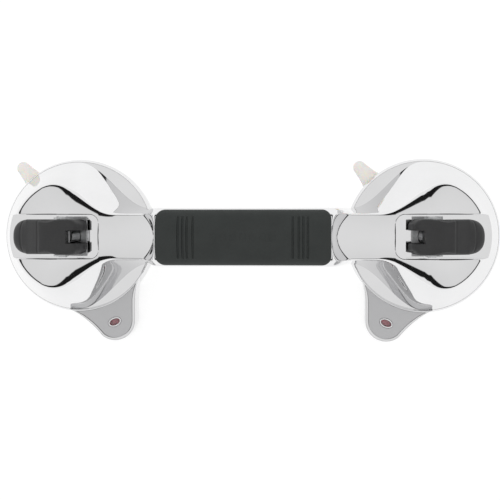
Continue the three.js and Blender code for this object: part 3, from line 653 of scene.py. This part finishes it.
def ear_outline(inset, root):
    """Round tip, straight inner side and slanted outer side, both flaring into the disc."""
    tip = EAR_TIP_RADIUS - inset
    inner_degrees, outer_degrees, leave_degrees = -20 - 10 * inset, -97 + 3 * inset, -128
    inner_end = polar(root, inner_degrees)
    outer_end = polar(root, outer_degrees)
    leave = polar(tip, leave_degrees) + EAR_TIP
    bend = mix(outer_end, leave, np.array([0.55, 0.32]))
    side = EAR_TIP[0] + tip
    straight = np.array([side, EAR_TIP[1] + EAR_TIP_RADIUS])
    flare = np.array([side + 0.4, mix(straight[1], inner_end[1], 0.5)])
    swing = polar(tip, np.linspace(leave_degrees, 0, 40)) + EAR_TIP
    back = polar(root, np.linspace(inner_degrees, outer_degrees, 40))
    outer_flare = bezier(outer_end, bend, leave, 24)
    inner_flare = bezier(straight, flare, inner_end, 24)
    return np.concatenate([outer_flare, swing[1:], inner_flare, back[1:-1]])


def levelled(outlines, heights):
    """Flat outlines of equally many points, each lifted to its height."""
    return np.stack([np.column_stack([o, np.full(len(o), z)]) for o, z in zip(outlines, heights)])


def stacked(outlines, heights):
    """A solid through outlines at rising heights, with flat ends."""
    return loft(levelled(outlines, heights))


# %% Base discs with their ears
WINDOW_REACH = 57.4
WINDOW_DEGREES = -66.6
WINDOW_HALF = (3.2, 1.8)


def window_outline(grow, steps=64):
    """An oval whose long axis lies along the cup's tangent at the window."""
    turn = np.radians(WINDOW_DEGREES + 90)
    angle = np.linspace(0, 2 * np.pi, steps, endpoint=False)
    a = (WINDOW_HALF[0] + grow) * np.cos(angle)
    b = (WINDOW_HALF[1] + grow) * np.sin(angle)
    x = a * np.cos(turn) - b * np.sin(turn)
    y = a * np.sin(turn) + b * np.cos(turn)
    return np.stack([x, y], axis=-1) + polar(WINDOW_REACH, WINDOW_DEGREES)


def ear_stack(insets, heights):
    """The ear's outline, drawn in by each inset at its height."""
    return stacked([ear_outline(inset, EAR_ROOT + inset / 2) for inset in insets], heights)


def cut_window(piece, side, grow, depth, sharp_degrees):
    """Cuts the window's oval, grown a little, down to a depth below the ear's top."""
    hole = stacked([window_outline(grow)] * 2, [EAR_TOP - depth, EAR_TOP + 3])
    return carve(piece, cup_piece("window_hole", side, hole), sharp_degrees)


def disc_profile():
    """Outer rim, conical edge and plate, with the well and the guide tube for the stem."""
    low = RIM_BOTTOM
    plate = DISC_TOP - 3
    outline = [
        [13.6, plate], [SKIRT_RADIUS, plate], [SKIRT_RADIUS, low], [DISC_RADIUS, low],
        [DISC_RADIUS, plate], [SKIRT_RADIUS + 0.4, DISC_TOP], [15.4, DISC_TOP], [15.4, 14.3],
        [10.2, 14.3], [10.2, 23.3], [STEM_BORE, 23.3], [STEM_BORE, 19.5], [8.2, 19.5], [8.2, 12.5],
        [13.6, 12.5],
    ]
    return rounded(outline, 0.9, 7)


def base_plate(name, side):
    """The turned disc and its ear, whose top is let in for the satin plate."""
    sharp_degrees = 38.0
    piece = cup_piece(f"{name}_base_plate", side, turned(disc_profile(), 192), sharp_degrees)
    bevel = np.linspace(0, np.pi / 2, 7)
    insets = [0.7, 0.2, 0.0, *(EAR_BEVEL * (1 - np.cos(bevel))), EAR_MARGIN, EAR_MARGIN]
    foot = [RIM_BOTTOM, RIM_BOTTOM + 0.6, RIM_BOTTOM + 1.2]
    heights = [*foot, *(EAR_TOP - EAR_BEVEL + EAR_BEVEL * np.sin(bevel)), EAR_TOP, EAR_TOP - 1.35]
    ear = cup_piece(f"{name}_ear", side, ear_stack(insets, heights))
    carve(piece, ear, sharp_degrees, "UNION")
    return cut_window(piece, side, 1.3, 7, sharp_degrees)


base_plates = both(base_plate)

# %% [markdown]
# The satin face of the ear is a thin plate let into it, and a small bright bezel stands in the
# plate round the window.

# %% Ear faces, bezels and windows
def ear_face(name, side):
    """A plate with a rounded upper edge, a little below the ear's own edge."""
    sharp_degrees = 60.0
    top = EAR_TOP - 0.15
    heights = [EAR_TOP - 1.3, top - 0.3, top - 0.12, top - 0.03, top]
    plate = ear_stack([1.95, 1.95, 2.0, 2.12, 2.3], heights)
    piece = cup_piece(f"{name}_ear_face", side, plate, sharp_degrees)
    return cut_window(piece, side, 1.15, 4, sharp_degrees)


def bezel_ring(name, side):
    """Outlines out, over a rounded top and down the inside, carried round as one closed ring."""
    grows = [1.05, 1.05, 0.95, 0.7, 0.35, 0.1, 0.0, 0.0]
    rises = [-2.2, -0.3, 0.02, 0.2, 0.2, 0.0, -0.3, -2.2]
    lines = levelled([window_outline(grow) for grow in grows], [EAR_TOP + rise for rise in rises])
    rings = lines.swapaxes(0, 1)
    rings = np.concatenate([rings, rings[:1]], axis=0)
    return cup_piece(f"{name}_window_bezel", side, loft(rings, closed_ends=False), 50.0)


def window_lens(name, side):
    """A shallow domed lens inside the bezel."""
    shrink = [-0.15, -0.15, -0.3, -0.7, -1.2]
    heights = [EAR_TOP - 1.6, EAR_TOP - 0.6, EAR_TOP - 0.45, EAR_TOP - 0.3, EAR_TOP - 0.2]
    lens = stacked([window_outline(grow) for grow in shrink], heights)
    return cup_piece(f"{name}_window_lens", side, lens, 60.0)


ear_faces, bezels, lenses = both(ear_face), both(bezel_ring), both(window_lens)

# %% [markdown]
# ## Levers
# A lever is a side view with thickness: a thumb-like handle that ends in the cam. The cam's edge is
# the curve whose distance from the pin, square to its flat seat, falls evenly with the angle, so it
# stays on the seat as it turns. Rings of that side view are carried across the width, drawn in at
# both sides to round the edges, and each ring follows the plan: a round tip, a slight waist and
# chamfered inner corners.

# %% Lever outline
LEVER_TIP = 31.0
LEVER_HALF = 10.0
LEVER_CROWN = 55.4
CAM_RADIUS = 16.0
CAM_DROP = 3.0 / math.radians(90.0)
EDGE_ROUND = 1.5
CREASES = (-25.2, -12.4)
PIN_RADIUS = 2.5
TONGUE_ROOM = 5.9
TONGUE_HALF = 3.7
LEVER_DEGREES = 50.0


def smooth_through(points, steps):
    """A Catmull-Rom curve through points, for a soft outline.

    Between b and c, with a before and d after them, it is half of
    2b + (c-a)t + (2a-5b+4c-d)t² + (3b-a-3c+d)t³."""
    p = np.asarray(points, dtype=float)
    p = np.concatenate([[2 * p[0] - p[1]], p, [2 * p[-1] - p[-2]]])
    t = np.linspace(0, 1, steps, endpoint=False)[None, :, None]
    a, b, c, d = p[:-3, None], p[1:-2, None], p[2:-1, None], p[3:, None]
    square = 2 * a - 5 * b + 4 * c - d
    cube = 3 * b - a - 3 * c + d
    curve = 0.5 * (2 * b + (c - a) * t + square * t**2 + cube * t**3)
    return np.concatenate([curve.reshape(-1, 2), p[-2:-1]])


def lever_outline():
    """Cam edge, rounded inner end, soft top and hollowed underside, as [x, z] points."""
    phi = np.radians(np.linspace(-30, 106, 60))
    facing = phi - np.pi / 2
    reach = CAM_RADIUS - CAM_DROP * phi
    cam = np.stack([
        reach * np.cos(facing) + CAM_DROP * np.sin(facing),
        PIN_Z + reach * np.sin(facing) - CAM_DROP * np.cos(facing),
    ], axis=-1)
    top = smooth_through([
        [cam[-1][0] - 0.2, 47.5], [11.7, 50.6], [10.2, 53.6], [6.4, LEVER_CROWN],
        [0, LEVER_CROWN - 0.25], [-9.3, LEVER_CROWN - 3.7], [-15.0, 48.2],
        [-20.2, LEVER_CROWN - 10.6], [-26.4, 41.4], [-29.6, 39.3], [-30.9, 37.4], [-30.3, 35.6],
        [-29.0, LEVER_CROWN - 21.4],
    ], 22)
    under = smooth_through([
        [-26.5, LEVER_CROWN - 21.8], [-21.0, 34.0], [-14.5, 34.7], [-11.9, 33.0],
        [cam[0][0] - 0.4, cam[0][1] + 1.6],
    ], 8)
    return np.concatenate([cam, top, under])


def creased(outline):
    """Two shallow creases across the lever's top, each a sunk bell curve: depth × e^(-(x/w)²)."""
    x, z = outline[:, 0], outline[:, 1]
    on_top = (x < 4) & ((z > PIN_Z + 1.0 - 0.2 * x) | (z > PIN_Z - 3))
    sunk = sum(0.35 * np.exp(-(((x - place) / 0.55) ** 2)) for place in CREASES)
    return outline - np.stack([0 * sunk, sunk * on_top], axis=-1)


def shrunk(outline, amount):
    """The outline moved inwards along its normals, which keeps its point count."""
    ahead = np.roll(outline, -1, axis=0) - np.roll(outline, 1, axis=0)
    normal = ahead[:, ::-1] * [-1, 1]
    normal /= np.maximum(np.linalg.norm(normal, axis=1, keepdims=True), 1e-9)
    return outline + normal * amount


# %% Levers
def plan_fit(x, across):
    """Follows the plan: round tip, waist and inner chamfer. across runs from -1 to 1."""
    share = np.abs(across)
    tip_start = LEVER_HALF - LEVER_TIP
    tip_power = 2.4
    round_tip = np.sqrt(np.maximum(1 - share**tip_power, 0)) ** (2 / tip_power)
    beyond = np.minimum(x - tip_start, 0)
    x = np.where(beyond < 0, tip_start + beyond * np.maximum(round_tip, 0.02), x)
    chamfer = 2.6 * np.clip((share - 0.68) / 0.32, 0, 1) ** 1.6
    inner = np.clip((x - 6.0) / 7.0, 0, 1)
    x = x - chamfer * inner
    waist = 1.25 * np.exp(-(((x + 7.5) / 5.2) ** 2))
    return x, across * (LEVER_HALF - waist)


def lever_body(name, side):
    """The side view carried across the width, then cut for the tongue and the pin."""
    outline = creased(lever_outline())
    turn = np.linspace(0, np.pi / 2, 9)
    edge = 1 - EDGE_ROUND / LEVER_HALF * (1 - np.sin(turn))
    half = np.concatenate([np.linspace(0, edge[0], 14)[:-1], edge])
    across = np.concatenate([-half[:0:-1], half])
    rings = []
    for place in across:
        near = max(0.0, (abs(place) - edge[0]) / (1 - edge[0]))
        inward = EDGE_ROUND * (1 - math.sqrt(max(0.0, 1 - near**2)))
        line = shrunk(outline, inward)
        x, y = plan_fit(line[:, 0], place)
        rings.append(np.stack([x, y, line[:, 1]], axis=-1))
    piece = cup_piece(f"{name}_lever_body", side, loft(np.stack(rings)), LEVER_DEGREES)
    return cut_lever(piece, side)


def cut_across(piece, outline, half, side):
    """Cuts a side view, made wide across the bar, out of a lever."""
    x, z = outline[:, 0], outline[:, 1]
    rings = [np.column_stack([x, np.full(len(x), y), z]) for y in (-half, half)]
    return carve(piece, cup_piece("lever_cut", side, loft(np.stack(rings))), LEVER_DEGREES)


def cut_lever(piece, side):
    """Cuts the tongue's room, a quarter turn wide, the notch inside it and the pin's bore."""
    pin = np.array([0, PIN_Z])
    room, far, bore = TONGUE_ROOM, 30, PIN_RADIUS + 0.3
    arc = polar(room, np.linspace(90, 180, 16))
    tongue = np.concatenate([arc, [[-room, -far], [far, -far], [far, room]]])
    cut_across(piece, tongue + pin, TONGUE_HALF, side)
    notch = np.array([[5.4, 0], [far, 0], [far, far], [5.4, far]])
    cut_across(piece, notch + pin, TONGUE_HALF, side)
    circle = polar(bore, np.linspace(0, 360, 40, endpoint=False))
    return cut_across(piece, circle + pin, 14.0, side)


levers = both(lever_body)

# %% [markdown]
# ## Suction cups
# The cup is soft white rubber: a thin cone with a flat lip, thick in the middle where the stem is
# moulded in, and a pull tab on the edge to break the vacuum. It is turned from a profile, and the
# tab is joined on.

# %% Cups
TAB_DEGREES = 132.0
STEM_FLOOR = 6.8


def cup_profile():
    """The cone from below, the lip, the cone's back and the boss with its socket for the stem."""
    edge = DISC_RADIUS - 0.7
    outline = [
        [0.0, 3.8], [10.0, 3.5], [34.0, 0.6], [37.0, 0.0], [edge, 0.0], [edge + 0.2, 1.0],
        [edge, 2.4], [edge - 1.6, 3.2], [38.0, 3.2], [34.0, 3.7], [15.0, 5.8], [12.6, 7.0],
        [12.2, 10.2], [6.0, 10.2], [6.0, 9.0], [10.3, 9.0], [10.3, STEM_FLOOR], [0.0, STEM_FLOOR],
    ]
    curve = rounded(outline[1:-1], 0.7, 5)
    return np.concatenate([[outline[0]], curve, [outline[-1]]])


def tab_solid():
    """The tab along +X: a round tip and two flares that widen to its root."""
    root, reach, wide, narrow = DISC_RADIUS - 3, 60.9, 5.6, 4.0
    tip = polar(narrow, np.linspace(-90, 90, 20)) + [reach - narrow, 0]
    lower = bezier(np.array([root, -wide - 1.6]), np.array([root + 4.5, -wide + 0.4]), tip[0], 14)
    upper = lower[::-1] * [1, -1]
    outline = np.concatenate([lower[:-1], tip, upper[1:]])
    centre = np.array([root + 8.0, 0.0])
    outlines = [mix(centre, outline, share) for share in (0.93, 1.0, 1.0, 0.93)]
    return stacked(outlines, [0.5, 0.8, 2.0, 2.3])


def suction_cup(name, side):
    """The turned cup with its tab. Both tabs point the same way, so the right one is mirrored."""
    sharp_degrees = 45.0
    piece = cup_piece(f"{name}_rubber_cup", side, turned(cup_profile(), 160), sharp_degrees)
    turn = math.radians(TAB_DEGREES if side < 0 else 180 - TAB_DEGREES)
    cos, sin = math.cos(turn), math.sin(turn)
    points, faces = tab_solid()
    spun = points @ np.array([[cos, sin, 0], [-sin, cos, 0], [0, 0, 1]])
    return carve(piece, cup_piece(f"{name}_tab", side, (spun, faces)), sharp_degrees, "UNION")


cups = both(suction_cup)

# %% [markdown]
# ## Small turned parts
# Pins and screw heads are seen at the levers' sides and from behind. Each is a small turned
# profile, so that its edge is round where the frame's own part has only a few flats.

# %% Pins and screws
def lying(points, x, z):
    """Points turned about Z laid along Y, at a place (x, z) in the cup's frame."""
    return np.stack([points[:, 0] + x, points[:, 2], points[:, 1] + z], axis=-1)


def lever_pin(name, side):
    """A plain pin with both its ends broken by a small chamfer."""
    half, radius, end = 11.7, PIN_RADIUS, 0.35
    upper = [[radius, half - end], [radius - end, half], [0, half]]
    lower = [[r, -z] for r, z in upper[::-1]]
    points, faces = turned(lower + upper, 40)
    return cup_piece(f"{name}_pin_turned", side, (lying(points, 0, PIN_Z), faces), 30.0)


def screw_turned(node):
    """A low head with a chamfered edge and a cross-shaped recess, and its plain shank."""
    low, high = (corner[2] for corner in box_mm(node))
    x, y = middle_mm(node)[:2]
    head, top, shank = SCREW_HEAD, low + SCREW_HEAD_HEIGHT, 1.6
    profile = [
        [0, low], [head - 0.6, low], [head, low + 0.5], [head, top],
        [shank, top], [shank, high - 0.6], [shank - 0.5, high], [0, high],
    ]
    points, faces = turned(profile, 40)
    piece = make_piece(f"{node}_turned", points + [x, y, 0], faces)
    for a, b in ((1.7, 0.35), (0.35, 1.7)):
        corners = rounded([[-a, -b], [a, -b], [a, b], [-a, b]], 0.15, 3) + [x, y]
        points, faces = stacked([corners, corners], [low - 1, low + 0.9])
        carve(piece, make_piece("driver", points, faces))
    return piece


pins = both(lever_pin)
turned_screws = {node: screw_turned(node) for node in HANDLE_SCREWS}

# %% [markdown]
# ## Shader sums
# A finish is a little network of nodes. To keep it readable, a socket is wrapped in a class that
# knows how to add, multiply and take a power, and every other node comes from one method.

# %% A finish and its sums
class Wire:
    """The output of a node, which can take part in sums."""

    def __init__(self, finish, socket):
        self.finish = finish
        self.socket = socket

    def _math(self, operation, first, second):
        return self.finish.node("ShaderNodeMath", {"operation": operation}, {0: first, 1: second})

    def __add__(self, other):
        return self._math("ADD", self, other)

    def __mul__(self, other):
        return self._math("MULTIPLY", self, other)

    def __pow__(self, other):
        return self._math("POWER", self, other)

    __radd__ = __add__
    __rmul__ = __mul__


class Finish:
    """A material with one Principled shader. Plain values go straight on its sockets."""

    def __init__(self, name, **values):
        self.material = bpy.data.materials.new(name)
        self.material.use_nodes = True
        self.tree = self.material.node_tree
        self.shader = next(n for n in self.tree.nodes if n.type == "BSDF_PRINCIPLED")
        for socket, value in values.items():
            self.shader.inputs[socket.replace("_", " ")].default_value = value
        self.place = self.node("ShaderNodeTexCoord", output="Object")

    def node(self, kind, settings=None, inputs=None, output=0):
        """Makes a node, sets its settings or its ramp's stops, and then feeds its sockets."""
        made = self.tree.nodes.new(kind)
        for key, value in (settings or {}).items():
            if key == "stops":
                for index, (position, colour) in enumerate(value):
                    stops = made.color_ramp.elements
                    stop = stops[index] if index < len(stops) else stops.new(position)
                    stop.position = position
                    stop.color = (*colour, 1)
            else:
                setattr(made, key, value)
        for socket, value in (inputs or {}).items():
            self.feed(made.inputs[socket], value)
        return Wire(self, made.outputs[output])

    def feed(self, socket, value):
        if isinstance(value, Wire):
            self.tree.links.new(value.socket, socket)
        else:
            socket.default_value = value

    def noise(self, scale, detail=2.0, roughness=0.5):
        values = {"Vector": self.place, "Scale": scale, "Detail": detail, "Roughness": roughness}
        return self.node("ShaderNodeTexNoise", None, values)

    def colours(self, factor, *stops):
        return self.node("ShaderNodeValToRGB", {"stops": stops}, {0: factor})

    def set(self, socket, value):
        self.feed(self.shader.inputs[socket], value)

    def bump(self, height, strength, distance):
        values = {"Strength": strength, "Distance": distance, "Height": height}
        self.set("Normal", self.node("ShaderNodeBump", None, values))


# %% [markdown]
# ## Finishes
# Chrome on moulded plastic is a mirror with the faint waviness of the moulding and a trace of
# cloudiness. The soft parts are mostly about texture: fine matt grain on the grip, the spark
# pattern of a steel mould on the levers, and a milky, slightly waxy rubber for the cups.

# %% Metals
def chrome_finish():
    """A mirror whose roughness rises a little where a wide noise is high."""
    finish = Finish("bright_chrome", Metallic=1.0)
    cloud = finish.noise(38.0, 3.0)
    pale, bright = (0.79, 0.79, 0.795), (0.82, 0.82, 0.825)
    finish.set("Base Color", finish.colours(cloud, (0.3, pale), (0.7, bright)))
    haze = finish.noise(900.0, 2.0)
    finish.set("Roughness", 0.03 + 0.05 * (cloud**3.0) + 0.02 * haze)
    finish.bump(finish.noise(26.0, 1.0), 0.05, 0.0006)
    return finish.material


def steel_finish():
    """Turned steel: one fine grain makes the colour, the roughness and the bump."""
    finish = Finish("turned_steel", Metallic=1.0)
    grain = finish.noise(1400.0, 3.0, 0.6)
    dark, bright = (0.45, 0.455, 0.46), (0.63, 0.635, 0.64)
    finish.set("Base Color", finish.colours(grain, (0.2, dark), (0.8, bright)))
    finish.set("Roughness", 0.22 + 0.18 * grain)
    finish.bump(grain, 0.15, 0.00005)
    return finish.material


def silver_finish():
    """Satin silver: fine metallic flakes under a clear skin."""
    finish = Finish("satin_silver", Metallic=0.75, Coat_Roughness=0.25)
    flake = finish.noise(2600.0, 2.0, 0.7)
    dark, bright = (0.50, 0.50, 0.51), (0.60, 0.60, 0.605)
    finish.set("Base Color", finish.colours(flake, (0.35, dark), (0.65, bright)))
    finish.set("Roughness", 0.36 + 0.12 * flake)
    finish.bump(flake, 0.08, 0.00003)
    return finish.material


# %% Rubber and plastic
def grained_finish(name, dark, light, roughness, scale, strength, **values):
    """A moulded surface whose grain sets the colour, the roughness and the bump together."""
    finish = Finish(name, **values)
    grain = finish.noise(scale, 4.0, 0.62)
    blotch = finish.noise(120.0, 2.0)
    finish.set("Base Color", finish.colours(0.7 * grain + 0.3 * blotch, (0.3, dark), (0.7, light)))
    finish.set("Roughness", roughness + 0.16 * grain)
    finish.bump(grain, strength, 0.00012)
    return finish.material


def window_finish():
    """Clear plastic, which shows mostly by its gloss."""
    finish = Finish("clear_window", Roughness=0.04, Alpha=0.1, IOR=1.49)
    speck = finish.noise(700.0, 2.0)
    dull, bright = (0.86, 0.88, 0.9), (0.92, 0.94, 0.95)
    finish.set("Base Color", finish.colours(speck, (0.3, dull), (0.7, bright)))
    return finish.material


# name: darkest colour, lightest colour, roughness, scale of the grain, strength of the bump
GRAINED = {
    "grip_rubber": ((0.013, 0.0165, 0.0155), (0.028, 0.033, 0.031), 0.55, 1900.0, 0.45),
    "lever_plastic": ((0.014, 0.014, 0.0145), (0.027, 0.027, 0.028), 0.42, 1500.0, 0.3),
    "dark_plastic": ((0.05, 0.052, 0.055), (0.08, 0.082, 0.086), 0.5, 1200.0, 0.25),
    "cup_rubber": ((0.80, 0.815, 0.79), (0.88, 0.89, 0.87), 0.34, 300.0, 0.05),
    "flag_red": ((0.36, 0.006, 0.03), (0.46, 0.012, 0.045), 0.4, 900.0, 0.1),
    "flag_green": ((0.01, 0.26, 0.06), (0.02, 0.34, 0.08), 0.4, 900.0, 0.1),
}
EXTRAS = {"cup_rubber": {"Subsurface_Weight": 0.35}}
FINISHES = {
    "chrome": chrome_finish(),
    "steel": steel_finish(),
    "silver_plate": silver_finish(),
    "window": window_finish(),
}
for name, values in GRAINED.items():
    FINISHES[name] = grained_finish(name, *values, **EXTRAS.get(name, {}))
print("finishes:", ", ".join(sorted(FINISHES)))

# %% [markdown]
# ## Hanging the pieces on the frame
# Each new piece but the cup rides on the body that carries it, stands for the parts it replaces,
# and takes the finish of its slot. The cup rides on no body, and its place is baked into its points.

# %% Riding and replacing
def finish_piece(piece, slot_name, body, node):
    """Gives a piece its finish, the part it replaces and, if one is given, its body."""
    piece.data.materials.clear()
    piece.data.materials.append(FINISHES[slot_name])
    if body:
        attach(piece, body)
    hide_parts(node)


finish_piece(handle_front, "chrome", "frame", "handle_front_shell")
finish_piece(handle_back, "chrome", "frame", "handle_back_shell")
finish_piece(grip, "grip_rubber", "frame", "grip_pad")
for node, piece in turned_screws.items():
    finish_piece(piece, "steel", "frame", node)
for name, side in SIDES.items():
    finish_piece(base_plates[name], "chrome", "frame", f"{name}_base_disc")
    finish_piece(ear_faces[name], "silver_plate", "frame", f"{name}_ear_face_plate")
    finish_piece(bezels[name], "chrome", "frame", f"{name}_indicator_bezel")
    finish_piece(lenses[name], "window", "frame", f"{name}_indicator_window")
    finish_piece(levers[name], "lever_plastic", f"{name}_lever", f"{name}_lever")
    finish_piece(pins[name], "steel", f"{name}_stem", f"{name}_lever_pin")
    finish_piece(cups[name], "cup_rubber", None, f"{name}_suction_cup")
    x, y = side * HALF_SPACING * MM, BAR_Y * MM
    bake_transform(cups[name])

# %% [markdown]
# The frame's small parts that are right as they are, such as springs, clips, the stem and the
# flags, stay and only take a finish.

# %% Finishes of the frame's own parts
slots = {entry["node"]: entry["material_slot"] for entry in frame["record"]["subparts"]}
for node, part in frame["nodes"].items():
    material = FINISHES[slots[node]]
    if not part.material_slots:
        part.data.materials.append(material)
    for slot in part.material_slots:
        slot.material = material
print(len(frame["nodes"]), "parts have a finish")

# %% [markdown]
# ## Studio
# Chrome shows its surroundings, so the room is the picture. A pale floor gives the flanks their
# light, an even grey overhead fills the plateaus, and a dark strip above the horizon draws the
# black streaks where the surface slopes by about forty degrees. The lamp stays out of reflections.

# %% Floor and surroundings
# height of a direction above the horizon, from 0 to 1, and the grey that it shows
ROOM = [(0.0, 0.98), (0.165, 0.98), (0.185, 0.012), (0.335, 0.012), (0.355, 0.80), (0.95, 0.86)]


def studio_floor():
    """A wide pale sheet just under the cups that glows a little, so that it reads as white."""
    half, below = 3.0, 0.0004
    mesh = bpy.data.meshes.new("studio_floor")
    corners = [(-half, -half), (half, -half), (half, half), (-half, half)]
    mesh.from_pydata([(x, y, -below) for x, y in corners], [], [(0, 1, 2, 3)])
    floor = bpy.data.objects.new("studio_floor", mesh)
    bpy.context.scene.collection.objects.link(floor)
    finish = Finish("studio_white", Roughness=0.9, Emission_Strength=0.80)
    finish.shader.inputs["Base Color"].default_value = (0.30, 0.30, 0.30, 1)
    finish.shader.inputs["Emission Color"].default_value = (1, 1, 1, 1)
    floor.data.materials.append(finish.material)


def surroundings():
    """World light by height: white at the horizon, a dark strip above it, pale grey overhead."""
    world = bpy.data.worlds.new("studio")
    bpy.context.scene.world = world
    world.use_nodes = True
    tree = world.node_tree
    background = tree.nodes["Background"]
    coordinates = tree.nodes.new("ShaderNodeTexCoord")
    split = tree.nodes.new("ShaderNodeSeparateXYZ")
    ramp = tree.nodes.new("ShaderNodeValToRGB")
    tree.links.new(coordinates.outputs["Generated"], split.inputs[0])
    tree.links.new(split.outputs["Z"], ramp.inputs[0])
    tree.links.new(ramp.outputs[0], background.inputs["Color"])
    stops = ramp.color_ramp.elements
    for index, (height, grey) in enumerate(ROOM):
        stop = stops[index] if index < 2 else stops.new(height)
        stop.position = height
        stop.color = (grey, grey, grey, 1)
    background.inputs["Strength"].default_value = 1.0


studio_floor()
surroundings()

# %% Light and camera
def soft_light(name, place, size, power, aim=(0, 0, 0.03)):
    """An area lamp at a place, in metres, turned to its aim and unseen in reflections."""
    lamp = bpy.data.lights.new(name, "AREA")
    lamp.shape = "RECTANGLE"
    lamp.size, lamp.size_y = size
    lamp.energy = power
    light = bpy.data.objects.new(name, lamp)
    light.location = place
    direction = np.array(aim) - np.array(place)
    yaw = math.atan2(direction[1], direction[0]) - math.pi / 2
    tilt = math.atan2(-direction[2], math.hypot(direction[0], direction[1]))
    light.rotation_euler = (math.pi / 2 - tilt, 0, yaw)
    light.visible_glossy = False
    bpy.context.scene.collection.objects.link(light)


def top_camera():
    """Looks down on the face of the bar, a little off its middle."""
    lens = bpy.data.cameras.new("camera")
    lens.lens = 54.7
    lens.sensor_width = 36.0
    lens.shift_x = -0.06
    lens.shift_y = -0.03
    lens.clip_start = 0.01
    camera = bpy.data.objects.new("camera", lens)
    camera.location = [value * MM for value in (35.1, 9.0 + BAR_Y, 475.0)]
    camera.rotation_euler = (-0.0183, 0.036, 0.0)
    bpy.context.scene.collection.objects.link(camera)
    bpy.context.scene.camera = camera


soft_light("key", (-0.9, 1.6, 0.9), (0.9, 0.6), 5.0)
top_camera()
bpy.context.scene.view_settings.view_transform = "Standard"
